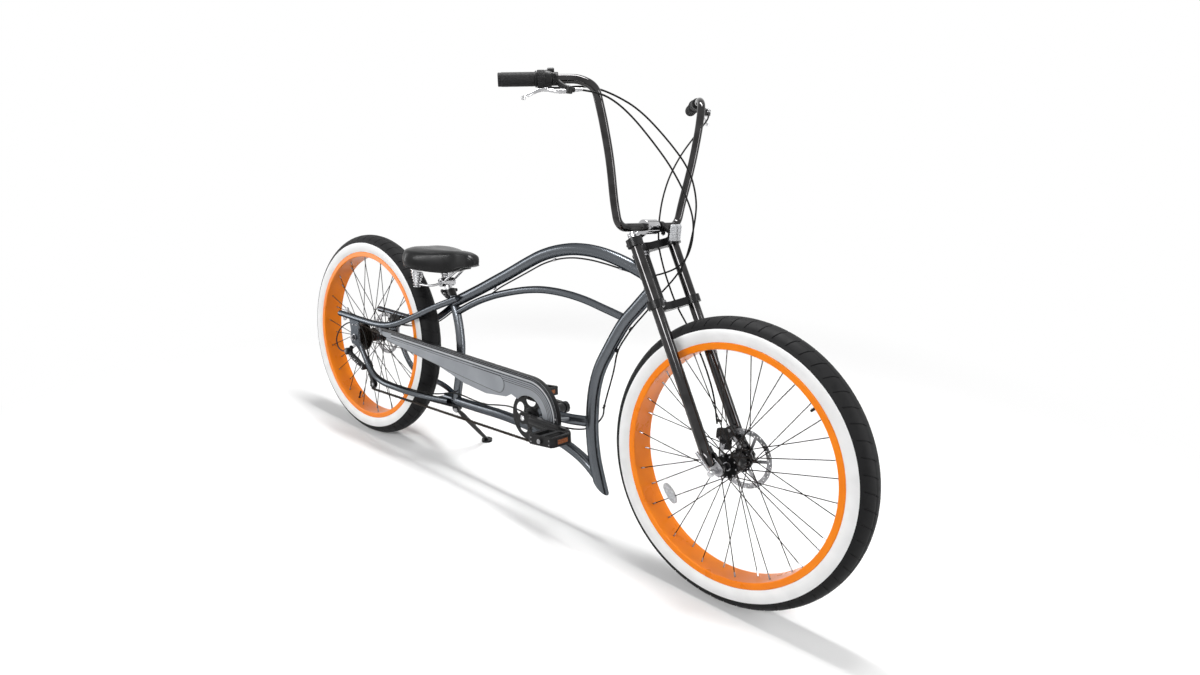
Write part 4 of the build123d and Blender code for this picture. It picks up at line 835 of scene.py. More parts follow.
# handlebar controls, drawn for the right side and mirrored for the left
barMiddle = Vector((1.2695, 0, 0.9437))
barTip = barMiddle + mm(-182, -393, 331)
gripRun = (barTip - barMiddle - mm(-97, -301, 344)).normalized()
gripFront = Vector((0.523, -0.495, -0.69))
grip = {
    "length": 88, "ribs": 26, "end": [(0, 13.5), (0.6, 15.5)], "cap": [(0, 14.2), (1.2, 15.8), (4.8, 16.4)],
    "rib": ((0, 16.25), (0.25, 16.85), (0.6, 16.85), (0.8, 16.25)),  # share of a step, radius
    "flange": [(83, 16.3), (84.2, 19.2), (86.6, 19.2), (87.8, 16.3)],
}
shifter = {
    "start": 0.0883, "drumStart": 0.1083, "end": 0.1223, "ribs": 36, "ribHeight": 0.0008,
    "sleeve": ((0.0005, 0.0196), (0.002, 0.0203), (0.017, 0.0203), (0.0185, 0.0196)),
    "drum": [(0, 19.8), (0.8, 21.2), (12.5, 21.2), (13.8, 20.3)],
    "pod": [(0, 6.5), (1.2, 8.2), (14.8, 8.2), (16, 6.6)],
    "adjuster": [(0, 5.2), (1, 6.5), (11.5, 6.5), (12.5, 5)],
}
lever = {
    "perchAt": 0.1303, "perchHalf": 0.008, "reach": 0.040, "inward": 0.034, "barrelLength": 0.024,
    "perch": [(0, 14.8), (1, 15.8), (15, 15.8), (16, 14.8)],
    "pivot": [(0, 7.5), (1, 8.8), (16, 8.8), (17, 7.5)],
    "barrel": [(0, 5.2), (1, 6), (19, 6), (20, 5)], "bladeEnd": [(0, 3.5), (1, 5.2), (7, 5.2), (8, 3.5)],
    "adjuster": [(0, 3.8), (0.6, 4.6), (9, 4.6), (9.8, 3.4)],
    "ferrule": [(0, 3.6), (1, 4.1), (9, 3.8), (13, 3.1)],
    # the blade: how far along the grip and ahead of it
    "blade": ((-0.004, 0.004), (0.026, 0.005), (0.062, -0.002), (0.098, 0.018), (0.106, 0.026)),
}


def onGrip(distance):
    return barTip - gripRun * distance


build = bmesh.new()
step = (grip["length"] - 10) / grip["ribs"]
ribs = [(4 + (k + share) * step, radius) for k in range(grip["ribs"]) for share, radius in grip["rib"]]
addTurned(build, barTip, -gripRun, grip["end"] + ribs + grip["flange"], 40)
addTurned(build, onGrip(-0.0045), -gripRun, grip["cap"], 40)
twoSides("gripSleeve", build, "gripRubber", 50)

# the right sleeve turns to change gear: ribbed rubber, then a drum with its pod
build = bmesh.new()
rings = []
for distance, radius in shifter["sleeve"]:
    centre, count = onGrip(shifter["start"] + distance), shifter["ribs"] * 4
    low = aroundPoint(centre, *crossAxes(gripRun), radius, count)
    high = aroundPoint(centre, *crossAxes(gripRun), radius + shifter["ribHeight"], count)
    rings.append([high[k] if k % 4 < 2 else low[k] for k in range(count)])
addRings(build, rings)
addPiece("shifterSleeve", build, "steering", "gripRubber", 40)
build = bmesh.new()
podTop = onGrip(shifter["drumStart"] + 0.007) + mm(6, 0, 17.5)
addTurned(build, onGrip(shifter["drumStart"]), -gripRun, shifter["drum"], 48)
addTurned(build, podTop + gripRun * 0.008, -gripRun, shifter["pod"], 20)
addTurned(build, podTop + mm(10, -2, -9) + gripRun * 0.006, -gripRun, shifter["adjuster"], 20)
addPiece("shifterDrum", build, "steering", "plastic", 40)

perchAt = onGrip(lever["perchAt"])
leverPivot = perchAt + gripFront * lever["reach"] - gripRun * lever["inward"]
barrelEnd = leverPivot - gripRun * lever["barrelLength"]
build = bmesh.new()
addTurned(build, perchAt + gripRun * lever["perchHalf"], -gripRun, lever["perch"])
neck = smoothLine([perchAt, perchAt.lerp(leverPivot, 0.5) + gripFront * 0.003, leverPivot], 5)
addWire(build, neck, [0.0075] * 3 + [0.0072] * 4 + [0.0075] * 4, 14, flat=0.8)
addTurned(build, leverPivot + mm(0, 0, 8.5), -upward, lever["pivot"], 22)
addTurned(build, leverPivot + gripRun * 0.006, -gripRun, lever["barrel"], 18)
perch = twoSides("leverPerch", build, "plastic", 45)
build = bmesh.new()
bladeLine = smoothLine([leverPivot + gripRun * inward + gripFront * out for inward, out in lever["blade"]])
addWire(build, bladeLine, [0.0052] * 8 + [0.0046] * 8 + [0.0041] * 8 + [0.0040] * 8 + [0.0046], 14, flat=0.62)
addTurned(build, bladeLine[-1] + mm(0, 0, 4), -upward, lever["bladeEnd"], 14)
addBolt(build, leverPivot + mm(0, 0, 8.5), upward, 3.2, 2.2, 12)
addTurned(build, leverPivot - gripRun * 0.014, -gripRun, lever["adjuster"], 16)
twoSides("leverBlade", build, "chrome", 50)
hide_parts("brake_levers")
print("controls made")

# stem, steerer and crowns
headAngle = radians(59.8)
headRun = Vector((cos(headAngle), 0, -sin(headAngle)))
headFront = Vector((sin(headAngle), 0, cos(headAngle)))
headTop = frontAxle - headRun * 0.6066 - headFront * 0.0687
crown = {
    "upper": -0.0109, "lower": 0.1609, "legSide": 0.082, "legAhead": 0.0545, "thick": 0.021,
    "topCap": [(0, 18.6), (2.2, 18.6), (3.8, 16.5)], "clampEnd": [(0, 19.6), (1.2, 18.8), (1.6, 12.5)],
    "legCap": [(0, 16.5), (3, 16.5), (4.5, 13.5), (5, 6)], "cups": (0.0005, 0.1435),
    "cup": [(0, 23.5), (0.8, 24.5), (5.6, 24.5), (6.4, 23.5)],
    "seal": [(0, 22.2), (0.6, 22.8), (4, 22.8), (4.6, 21.5)],
}
crownTop = headTop + headRun * (crown["upper"] - crown["thick"] / 2)
legTop = crownTop + headFront * crown["legAhead"]
build = bmesh.new()
addTurned(build, crownTop - headRun * 0.0365, -headRun, crown["topCap"])
addBolt(build, crownTop - headRun * 0.0402, -headRun, 5.2, 3)
for side in (-1, 1):
    addBolt(build, barMiddle + mm(19, side * 14, 4), (1, 0, 0.2), 3.4, 3)
    addTurned(build, barMiddle + mm(0, side * 23.6, 0), sideways * side, crown["clampEnd"], 40)
addPiece("stemBolts", build, "steering", "chrome")
build = bmesh.new()
for name in ("upper", "lower"):
    front = headTop + headRun * crown[name] + headFront * (crown["legAhead"] - 0.0218)
    for side in (-1, 1):
        addBolt(build, front + sideways * side * (crown["legSide"] + 0.004), -headFront, 3.2, 3)
for side in (-1, 1):
    addTurned(build, legTop + headRun * 0.001 + sideways * side * crown["legSide"], -headRun, crown["legCap"])
addPiece("crownBolts", build, "steering", "blackPaint")
build = bmesh.new()
for distance in crown["cups"]:
    addTurned(build, headTop + headRun * distance, headRun, crown["cup"], 40)
addTurned(build, headTop + headRun * 0.0085, headRun, crown["seal"], 40)
addPiece("headRings", build, "frame", "steel")
print("steering dressed")

# steering cables: two loops that hang between the bar and the frame
steeringCable = {
    "radius": 0.0024,
    "shift": (
        (1.19, -0.283, 1.269), (1.206, -0.25, 1.277), (1.226, -0.21, 1.279), (1.258, -0.17, 1.266),
        (1.296, -0.115, 1.237), (1.342, -0.05, 1.171), (1.376, 0.01, 1.102), (1.38, 0.05, 1.027),
        (1.371, 0.065, 0.968), (1.361, 0.068, 0.905), (1.352, 0.062, 0.85), (1.328, 0.048, 0.801),
        (1.305, 0.034, 0.767),
    ),
    "brake": (
        (1.26, -0.245, 1.266), (1.282, -0.205, 1.253), (1.307, -0.16, 1.22), (1.335, -0.105, 1.165),
        (1.363, -0.05, 1.103), (1.386, 0.0, 1.027), (1.392, 0.03, 0.971), (1.385, 0.042, 0.909),
        (1.366, 0.045, 0.861), (1.326, 0.038, 0.828), (1.285, 0.026, 0.813),
    ),
    "bendStart": (1.33, 0.04, 0.80), "bendEnd": (1.24, -0.25, 1.24),
}


def hangCables():
    route = bpy.data.curves.new("steeringLoops", "CURVE")
    route.dimensions = "3D"
    route.bevel_depth = steeringCable["radius"]
    route.bevel_resolution = 4
    route.use_fill_caps = True
    cableExit = onGrip(shifter["end"]) - mm(0, 0, 20)
    for first, rest in ((cableExit, steeringCable["shift"]), (barrelEnd, steeringCable["brake"])):
        spline = route.splines.new("NURBS")
        spline.points.add(len(rest))
        for point, place in zip(spline.points, (first, *rest)):
            point.co = (*place, 1)
        spline.order_u = 3
        spline.use_endpoint_u = True
        spline.resolution_u = 10
    drawn = bpy.data.objects.new("steeringLoops", route)
    mesh = bpy.data.meshes.new_from_object(drawn)
    bpy.data.objects.remove(drawn)
    mesh.name = "steeringLoops"
    mesh.transform(uprightToFloor)
    for face in mesh.polygons:
        face.use_smooth = True
    mesh.materials.clear()
    mesh.materials.append(finish["cableCover"])
    loops = bpy.data.objects.new("steeringLoops", mesh)
    bpy.context.scene.collection.objects.link(loops)
    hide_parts("steering_cables")
    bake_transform(loops)


hangCables()
build = bmesh.new()
ferruleAt = barrelEnd + gripRun * 0.004
for flip in (1, -1):
    flipped = Vector((1, flip, 1))
    addTurned(build, ferruleAt * flipped, -gripRun * flipped, lever["ferrule"], 14)
addPiece("leverFerrules", build, "steering", "chrome")

# cable clips on the tubes, and the end caps of the housings
clip = {
    "silver": (
        ((1.185, 0.002, 0.817), (-1, 0, 0.12)), ((0.928, 0, 0.805), (-1, 0, -0.42)),
        ((0.669, 0, 0.674), (-1, 0, -0.55)), ((1.2375, 0.011, 0.8085), (-1, 0, 0.25)),
    ),
    "dark": (
        ((1.233, 0.008, 0.654), (-0.6, 0, -0.8)), ((1.195, 0.003, 0.584), (-0.35, 0, -0.94)),
        ((1.157, 0.012, 0.404), (-0.25, 0, -0.97)), ((0.655, -0.008, 0.279), (-1, 0, 0.03)),
        ((0.4, -0.0585, 0.2607), (-0.92, -0.35, 0.02)), ((0.29, -0.0842, 0.261), (-1, -0.1, 0)),
    ),
    "shape": [(0, 3.075), (0.6, 4.1), (3.4, 4.1), (4.2, 3.362),
              (6.8, 3.362), (7.6, 4.1), (10.4, 4.1), (11, 3.075)],
}
for tone, finishName in (("silver", "steel"), ("dark", "plastic")):
    build = bmesh.new()
    for at, run in clip[tone]:
        run = Vector(run).normalized()
        addTurned(build, Vector(at) - run * 0.0055, run, clip["shape"], 16)
    addPiece(tone + "Clips", build, "frame", finishName)
print("cables hung")

# chain guard: a folded dark rim, a raised bare panel and ribs that run round the nose
guard = {
    "face": -0.0745, "rimInner": -0.0575, "rimOut": 0.0006, "nose": 0.126, "topFront": (-0.2734, 0.122),
    "topRear": (-0.718, 0.116), "tail": (-0.815, 0.111), "ribs": (0.0885, 0.0945, 0.1005),
    "ribRadius": 0.0008,
    "darkLines": ((0.0075, 0.0021), (0.0185, 0.0015)), "paleLine": (0.013, 0.0010),  # inset and radius
}
panel = {
    "front": -0.112, "rear": -0.745, "top": 0.0965, "topRear": 0.090, "low": 0.043, "lowRear": 0.080,
    "layers": ((0.0006, 0.0), (-0.00084, 0.0003), (-0.0014, 0.0022), (-0.00119, 0.0042)),
    "edgeRadius": 0.0007,
}


def guardLine(inset, whole=True):
    # along the guard's top edge and round its nose, set in from the edge
    front, rear = Vector(guard["topFront"]), Vector(guard["topRear"])
    top = [rear, front] if whole else [front.lerp(rear, -0.02)]
    nose = arcPoints((0, 0), guard["nose"] - inset, pi / 2, 0.0, 27)
    return [(point.x, point.y - inset) for point in top] + nose


def onGuard(point, depth):
    return Vector((bracket.x + point[0], depth, bracket.z + point[1]))


def insetLine(outline, inset):
    line = []
    for before, point, after in zip(outline[-1:] + outline[:-1], outline, outline[1:] + outline[:1]):
        run = (Vector(after) - Vector(before)).normalized()
        line.append((point[0] + run.y * inset, point[1] - run.x * inset))
    return line


def makeGuardRim():
    tail, face, back, out = Vector(guard["tail"]), guard["face"], guard["rimInner"], guard["rimOut"]
    edges = [guard["tail"]] + guardLine(0.0)
    inners = [tail + Vector((0.002, -0.006))] + guardLine(0.0045)
    deeps = [tail + Vector((0.001, -0.003))] + guardLine(0.003)
    rings = []
    for edge, inner, deep in zip(edges, inners, deeps):
        edge, inner = Vector(edge), Vector(inner)
        inward = inner - edge
        away = inward.normalized() * -out
        rings.append([
            onGuard(edge + away * 0.5, back + 0.0003), onGuard(edge + away, back - 0.002),
            onGuard(edge + away, face + 0.0022), onGuard(edge + away * 0.5 + inward * 0.08, face + 0.0004),
            onGuard(edge + inward * 0.3, face - out), onGuard(inner, face - out),
            onGuard(inner, face + 0.0008), onGuard(deep, face + 0.003), onGuard(deep, back + 0.0003),
        ])
    build = bmesh.new()
    addRings(build, rings)
    addPiece("guardRim", build, "frame", "guardDark", 40)


def panelOutline():
    outline = []
    for k in range(21):  # top edge, rear to front
        share = k / 20
        x = panel["rear"] + (panel["front"] - 0.022 - panel["rear"]) * share
        outline.append((x, panel["topRear"] + (panel["top"] - panel["topRear"]) * share))
    half = (panel["top"] - panel["low"]) / 2
    for k in range(1, 13):
        x, z = onCircle((0, panel["low"] + half), half, pi / 2 - pi * k / 13)
        outline.append((panel["front"] - 0.026 + 0.98 * x, z))
    for k in range(21):  # the lower edge sweeps up to the tail
        share = k / 20
        x = panel["front"] - 0.03 + (panel["rear"] - panel["front"] + 0.03) * share
        outline.append((x, panel["low"] + (panel["lowRear"] - panel["low"]) * share**1.25))
    return outline


makeGuardRim()
build = bmesh.new()
for inset, radius in guard["darkLines"]:
    addWire(build, [onGuard(point, guard["face"]) for point in guardLine(inset)], radius, 6, flat=0.5)
for radius in guard["ribs"]:
    line = [onGuard(point, guard["face"]) for point in guardLine(guard["nose"] - radius, False)]
    addWire(build, line, guard["ribRadius"], 6)
addPiece("guardDarkLines", build, "frame", "guardDark", 50)
build = bmesh.new()
inset, radius = guard["paleLine"]
addWire(build, [onGuard(point, guard["face"] - 0.0002) for point in guardLine(inset)], radius, 6)
addPiece("guardPaleLine", build, "frame", "guardPale", 50)
outline = panelOutline()
build = bmesh.new()
addRings(build, [
    [onGuard(point, guard["face"] + depth) for point in insetLine(outline, inset)]
    for depth, inset in panel["layers"]
])
addPiece("guardPanel", build, "frame", "guardGrey", 30)
build = bmesh.new()
ring = [onGuard(point, guard["face"]) for point in insetLine(outline, -0.0006)]
addWire(build, ring, panel["edgeRadius"], 6, closed=True)
addPiece("guardPanelEdge", build, "frame", "guardDark", 50)
build = bmesh.new()
for point in ((guard["tail"][0] + 0.035, guard["tail"][1] - 0.014), (0.118, 0.024)):
    addBolt(build, onGuard(point, guard["face"]), -sideways, 3.2, 2.6, 12)
addPiece("guardScrews", build, "frame", "steel")
print("guard made")

# front reflector: a clear prism block in a dark bracket
reflector = {
    "place": (45, 50, -10), "half": (25, 23), "rows": 8, "columns": 9, "margin": 4, "prismHeight": 1.7,
    "lens": ((3.5, 2), (4.5, 0.8), (8.5, 0.8), (9.8, 2.4)),
    "shell": ((0, 6), (0.5, 0.6), (3.6, 0), (6.2, 0), (6.2, 1.8), (4, 1.8)),
    "collar": [(0, 13.6), (0.8, 14.8), (14.8, 14.8), (15.6, 13.6)], "stub": [(0, 4.8), (0.8, 5.8), (10, 5.8)],
}
lensAt = barMiddle + mm(*reflector["place"])
build = bmesh.new()
addPad(build, lensAt, forward, sideways, upward, reflector["half"], 5, reflector["lens"])
margin, (halfY, halfZ) = reflector["margin"], reflector["half"]
size = (2 * halfY - 2 * margin) / reflector["columns"]
for row in range(reflector["rows"]):
    for column in range(reflector["columns"]):
        at = mm(9.6, margin - halfY + size * (column + 0.5), margin - halfZ + size * (row + 0.5) * 1.03)
        addPrism(build, lensAt + at, sideways, upward, forward, size * 0.47, reflector["prismHeight"])
addPiece("reflectorLens", build, "steering", "clearLens", 20)
build = bmesh.new()
addPad(build, lensAt, forward, sideways, upward, reflector["half"], 5.5, reflector["shell"])
armEnd = barMiddle + mm(0, reflector["place"][1], 0)
arm = smoothLine([lensAt + mm(1, 0, 0), lensAt.lerp(armEnd, 0.35) + mm(0, 0, -2), armEnd + mm(14, 0, -2)], 5)
addWire(build, arm, [0.0075] * 4 + [0.006] * 7, 10, flat=0.7)
addTurned(build, armEnd - sideways * 0.0078, sideways, reflector["collar"], 30)
addTurned(build, armEnd + mm(12, 0, -20), upward, reflector["stub"], 14)
shell = addPiece("reflectorBracket", build, "steering", "plastic")
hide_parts("front_reflector")
build = bmesh.new()
addBolt(build, armEnd + mm(12, 0, -20), -upward, 2.6, 2.2)
addPiece("reflectorScrew", build, "steering", "steel")

# fork ends: bright slotted plates, plugs under the legs and the axles' nuts
forkEnd = {
    "side": 0.0745, "thick": 0.0088, "bore": 0.0056, "bevel": 0.0009,
    "outline": ((-0.034, 0.014), (-0.033, 0.025), (-0.018, 0.030), (0.004, 0.017), (0.0142, 0.008),
                (0.0158, -0.004), (0.010, -0.0135), (-0.002, -0.0158), (-0.012, -0.011)),
    "foot": [(0, 15.1), (0.8, 15.7), (30, 15.7), (34.5, 13.8), (38.5, 8.8), (39.5, 3)],
    "washer": [(0, 11.8), (1.4, 11.8), (1.8, 10.8)], "nut": [(0, 10.3), (6.2, 10.3), (7.8, 8.8)],
    "knob": [(0, 7.8), (1, 9), (10, 9), (11.5, 7.5), (12, 3)],
    "tab": ((0, -64, 0), (-12, -64, 16), (-25, -65, 34), (-38, -66, 51)),
    "tabRadii": [0.0088, 0.0052, 0.0046, 0.0052],
}
rearNut = {
    "side": 90.7, "washer": [(0, 12.5), (1.4, 12.5), (1.9, 11.5)],
    "nut": [(0, 10.3), (6.6, 10.3), (8.2, 8.8)], "stud": [(0, 5.1), (4.4, 5.1), (5, 4.2)],
}
for side, name in ((-1, "forkTipRight"), (1, "forkTipLeft")):
    bore = circlePoints((0, 0), forkEnd["bore"], 20)
    plate = flatPlate(name, forkEnd["outline"], [bore], forkEnd["thick"], forkEnd["bevel"])
    plate.data.transform(Matrix.Translation((0, side * forkEnd["side"], 0)))
    settle(plate, "steering", "steel", at=frontAxle)
legStart = legTop - headRun * 0.001
legEnd = legStart + headRun * ((frontAxle - legStart).dot(headRun) - 0.018)
feet, washers, chromed, nuts = bmesh.new(), bmesh.new(), bmesh.new(), bmesh.new()
for side in (-1, 1):
    foot = legEnd + sideways * side * crown["legSide"]
    addTurned(feet, foot - headRun * 0.034, headRun, forkEnd["foot"], 36)
    addTurned(washers, frontAxle + mm(0, side * 78.8, 0), sideways * side, forkEnd["washer"], 28)
    face = rearAxle + mm(0, side * rearNut["side"], 0)
    addTurned(nuts, face, sideways * side, rearNut["washer"], 28)
    addTurned(nuts, face + mm(0, side * 1.4, 0), sideways * side, rearNut["nut"], 6)
    addTurned(nuts, face + mm(0, side * 9.4, 0), sideways * side, rearNut["stud"], 14)
addTurned(chromed, frontAxle + mm(0, -102, 0), -sideways, forkEnd["knob"], 22)
# the tab that keeps the wheel in if the nut works loose
addWire(chromed, [frontAxle + mm(*point) for point in forkEnd["tab"]], forkEnd["tabRadii"], 14, flat=0.32)
addTurned(chromed, frontAxle + mm(0, 80.7, 0), sideways, forkEnd["nut"], 6)
# the fork feet get the chrome darkened as a painted dark reflection
addPiece("forkFeet", feet, "steering", "chromeWithPaintedDarkReflection", 40)
addPiece("frontWashers", washers, "steering", "steel")
addPiece("quickRelease", chromed, "steering", "chrome", 40)
addPiece("rearNuts", nuts, "frame", "steel")

# brake calipers: the cast halves' bolts, the cable's arm and its adjuster
caliper = {
    "half": 0.014, "boltReach": 0.019, "cover": ((13.2, 1.2), (15.2, 2.2), (17, 5.2)),
    "coverHalf": (23.5, 13.5),
    "pivot": [(0, 4.8), (1.6, 4.8), (2.2, 3.4)], "boss": [(12.5, 11.5), (16.5, 10.5), (17.2, 8)],
    "padCap": [(0, 10.8), (1.4, 10.4), (2.2, 8)],
    "barrel": [(0, 3.6), (1, 4.4), (9, 4.4), (10, 3.6), (14, 2.4)],
    # the front brake's cast bracket: place along, height, half length and half height of its two blocks
    "bracket": ((-79, 45, 19, 14.5), (-67, 18, 16.5, 16)),
    "bracketLayers": ((57.2, 1.6), (58.4, 0), (65.2, 0), (66.4, 1.6)),
}


def dressCaliper(name, body, centre, angleDegrees, cableFrom):
    run = Vector((cos(radians(angleDegrees)), 0, sin(radians(angleDegrees))))
    rise = Vector((-run.z, 0, run.x))
    metal, dark = bmesh.new(), bmesh.new()
    for sign in (-1, 1):
        bolt = centre + run * sign * caliper["boltReach"] + rise * 0.003
        addBolt(metal, bolt + sideways * caliper["half"], sideways, 3.6, 3.4)
        addBolt(metal, bolt - sideways * caliper["half"], -sideways, 3.2, 2.6)
    addTurned(metal, centre + mm(0, 15, 0), sideways, caliper["pivot"], 6)
    addPiece(name + "Bolts", metal, body, "steel")
    addPad(dark, centre, sideways, run, rise, caliper["coverHalf"], 5.8, caliper["cover"])
    addTurned(dark, centre + mm(0, 4, 0), sideways, caliper["boss"], 28)
    addTurned(dark, centre - mm(0, 13.5, 0), -sideways, caliper["padCap"], 28)
    armRoot = centre + mm(0, 19.5, 0)
    armEye = centre + run * 0.026 + rise * 0.014
    arm = [armRoot, armRoot + run * 0.014 + rise * 0.006, armEye + mm(0, 18.5, 0)]
    addWire(dark, arm, [0.0052, 0.0044, 0.0038], 10, flat=0.55)
    addTurned(dark, cableFrom, armEye + mm(0, 16, 0) - Vector(cableFrom), caliper["barrel"], 14)
    addPiece(name + "Arm", dark, body, "blackPaint", 40)


build = bmesh.new()
for x, z, half, tall in caliper["bracket"]:
    slope = Vector((1, 0, 0.25))
    addPad(build, frontAxle + mm(x, 0, z), sideways, slope, upward, (half, tall), 4, caliper["bracketLayers"])
addBolt(build, frontAxle + mm(-79, 57.2, 47), -sideways, 4, 1.2)
addPiece("frontCaliperBracket", build, "steering", "blackPaint", 40)
dressCaliper("frontCaliper", "steering", frontAxle + mm(-58, 52, 50), 49, (1.512, 0.059, 0.455))
dressCaliper("rearCaliper", "frame", rearAxle + mm(52, 52, 58), -42, (0.079, 0.0525, 0.430))
print("fork ends and brakes dressed")

# cranks, chainring and pedals
crank = {
    "face": 0.095, "length": 0.175, "angle": radians(0.6), "ringBoltCircle": 0.0405, "ringFace": -0.0632,
    "cap": [(0, 7.6), (0.6, 8.2), (1.4, 8.2), (2, 7.2), (2, 5.4)], "bolt": [(0, 5.6), (1.8, 5.6), (2.6, 4.6)],
    "eye": [(0, 7.8), (0.2, 7.8)], "ringBolt": [(0, 4.6), (1.2, 4.6), (1.8, 3.8)],
    "ringMiddle": [(0, 26.2), (3, 25.5), (3.6, 23.5)],
    "cup": [(-0.4, 20.5), (0.6, 21.2), (2.8, 21.2), (3.6, 20.2), (3.6, 17.8)],
    # the raised rib along the arm's outer face: distance, half width and lift in mm, then its section
    "rib": ((22, 6, 0.2), (30, 9.8, 1.6), (75, 8.8, 2.2), (125, 7.6, 1.8), (152, 6.2, 1.2), (158, 3.5, 0.2)),
    "ribSection": ((-1, 0), (-0.82, 0.7), (-0.5, 1), (0.5, 1), (0.82, 0.7), (1, 0)),
}
crankRun = Vector((cos(crank["angle"]), 0, sin(crank["angle"])))
for side, name in ((-1, "right"), (1, "left")):
    outward, away = sideways * side, -crankRun * side
    middle = bracket + outward * crank["face"]
    build = bmesh.new()
    addTurned(build, middle, outward, crank["cap"], 28)
    addTurned(build, middle + outward * 0.001, outward, crank["bolt"], 6)
    addTurned(build, middle + away * crank["length"], outward, crank["eye"], 20)
    addPiece(name + "CrankBolt", build, "crank", "chrome")
    across = Vector((-away.z, 0, away.x))
    build = bmesh.new()
    addRings(build, [
        [middle + (away * reach + across * half * u + outward * (lift * v - 0.6)) / 1000
         for u, v in crank["ribSection"]]
        for reach, half, lift in crank["rib"]
    ])
    addPiece(name + "CrankRib", build, "crank", "blackPaint", 50)

build, cups = bmesh.new(), bmesh.new()
ringMiddle = bracket + sideways * crank["ringFace"]
for k in range(5):
    x, z = onCircle((0, 0), crank["ringBoltCircle"], radians(56) + 2 * pi * k / 5)
    addTurned(build, ringMiddle + Vector((x, 0, z)), -sideways, crank["ringBolt"], 20)
addTurned(build, ringMiddle, -sideways, crank["ringMiddle"], 44)
addPiece("ringBolts", build, "crank", "blackPaint")
for side in (-1, 1):
    addTurned(cups, bracket + mm(0, side * 46, 0), sideways * side, crank["cup"], 40)
addPiece("bracketCups", cups, "frame", "blackPaint")

pedal = {
    "start": 0.112, "width": 0.082, "length": 0.098, "height": 0.027, "tilt": radians(8), "toothHeight": 1.8,
    "railTooth": ((2.6, 3.4), (1.2, 2.6)), "endTooth": ((3.4, 2.4), (2.6, 1)),  # half sizes at foot and top
    "barrel": [(0, 12.5), (1, 13.9), (74, 13.9), (75.5, 12.5)], "lensHalf": (20.2, 6.2), "lensCell": 0.0044,
    "lens": ((0, 0), (1.4, 0), (1.9, 0.8)), "nut": [(0, 8.5), (5, 8.5)],
    "cap": [(0, 6.8), (1.2, 6.8), (1.8, 5.5)],
}


def makePedal(side, body, name):
    eye = bracket - crankRun * side * crank["length"]
    outward = sideways * side
    centre = eye + outward * (pedal["start"] + pedal["width"] / 2)
    run = Vector((cos(pedal["tilt"]), 0, sin(pedal["tilt"])))
    rise = Vector((-run.z, 0, run.x))
    cage, lens, metal = bmesh.new(), bmesh.new(), bmesh.new()
    for face in (-1, 1):  # grip teeth on the rails, top and bottom
        top = centre + rise * face * (pedal["height"] / 2 - 0.0002)
        for rail in (-1, 1):
            for k in range(11):
                at = top + run * (-0.040 + 0.080 * k / 10) + sideways * rail * (pedal["width"] / 2 - 0.0045)
                addTooth(cage, at, run, sideways, rise * face, *pedal["railTooth"], pedal["toothHeight"])
        for end in (-1, 1):
            for k in range(9):
                at = top + run * end * (pedal["length"] / 2 - 0.005) + sideways * (-0.031 + 0.062 * k / 8)
                addTooth(cage, at, run, sideways, rise * face, *pedal["endTooth"], pedal["toothHeight"])
    addTurned(cage, eye + outward * (pedal["start"] + 0.003), outward, pedal["barrel"], 26)
    for end in (-1, 1):
        for k in (-1, 0, 1):
            at = centre + run * end * 0.031 + sideways * k * 0.021
            addWire(cage, [at - run * 0.0142, at + run * 0.0142], 0.0022, 6)
        out = run * end
        front = centre + out * (pedal["length"] / 2 + 0.0008)  # the reflector's frame
        loop = [front + sideways * u + rise * v for u, v in roundedLoop(0.0215, 0.0074, 0.002, 4)]
        addWire(cage, loop, 0.0012, 6, closed=True)
        front = centre + out * (pedal["length"] / 2 - 0.0004)
        addPad(lens, front, out, sideways, rise, pedal["lensHalf"], 1.5, pedal["lens"], 4)
        for row in range(3):
            for column in range(9):
                at = front + out * 0.0018 + (sideways * (column - 4) + rise * (row - 1)) * pedal["lensCell"]
                addPrism(lens, at, sideways, rise, out, 2.1, 1.3)
    addPiece(name + "PedalCage", cage, body, "plastic", 30)
    addPiece(name + "PedalReflectors", lens, body, "amberLens", 20)
    addTurned(metal, eye + outward * (crank["face"] + 0.0006), outward, pedal["nut"], 6)
    addTurned(metal, eye + outward * (pedal["start"] + pedal["width"] + 0.0045), outward, pedal["cap"], 20)
    for u in (-0.036, 0.036):
        for v in (-0.006, 0.006):
            addBolt(metal, centre + run * u + outward * pedal["width"] / 2 + rise * v, outward, 1.6, 1.2)
    addPiece(name + "PedalMetal", metal, body, "steel")


makePedal(-1, "pedal_right", "right")
makePedal(1, "pedal_left", "left")
print("cranks and pedals dressed")

# derailleur: link bolts, cage screws, jockey wheel teeth and the barrel for its cable
derailleur = {
    "outerCage": -0.0687, "teeth": 11, "toothFoot": 0.015, "tooth": ((2.6, 1.1), (0.9, 0.7)),
    "toothHeight": 3.6,
    "screw": [(0, 5.8), (1.2, 5.8), (2, 4.6), (2, 2.6)], "knuckle": [(0, 12.6), (1.2, 12.6), (2.4, 10.5)],
    "guideCap": [(0, 10.6), (1.2, 10.6), (2.4, 8.5)], "linkRadius": 0.0042, "linkLift": 7.2,
    "springTurns": 7, "springRadius": 0.0048, "springWire": 0.0009,
    "barrelAt": (-0.030, -0.104, 0.3205), "barrel": [(0, 3.6), (1, 4.6), (9, 4.6), (10, 3.6), (14, 2.6)],
}
dark, metal = bmesh.new(), bmesh.new()
for x, z in (drive["guide"], drive["tension"]):
    addTurned(metal, Vector((x, derailleur["outerCage"], z)), -sideways, derailleur["screw"], 18)
    for dx, dz in circlePoints((0, 0), 1, derailleur["teeth"]):
        out, across = Vector((dx, 0, dz)), Vector((-dz, 0, dx))
        foot = Vector((x, drive["chainSide"], z)) + out * derailleur["toothFoot"]
        addTooth(dark, foot, across, sideways, out, *derailleur["tooth"], derailleur["toothHeight"])
hanger = rearAxle + mm(8, 0, -34)
knuckle = hanger + mm(-26, -112, -22)
guideAt = Vector((drive["guide"][0], derailleur["outerCage"] - 0.022, drive["guide"][1]))
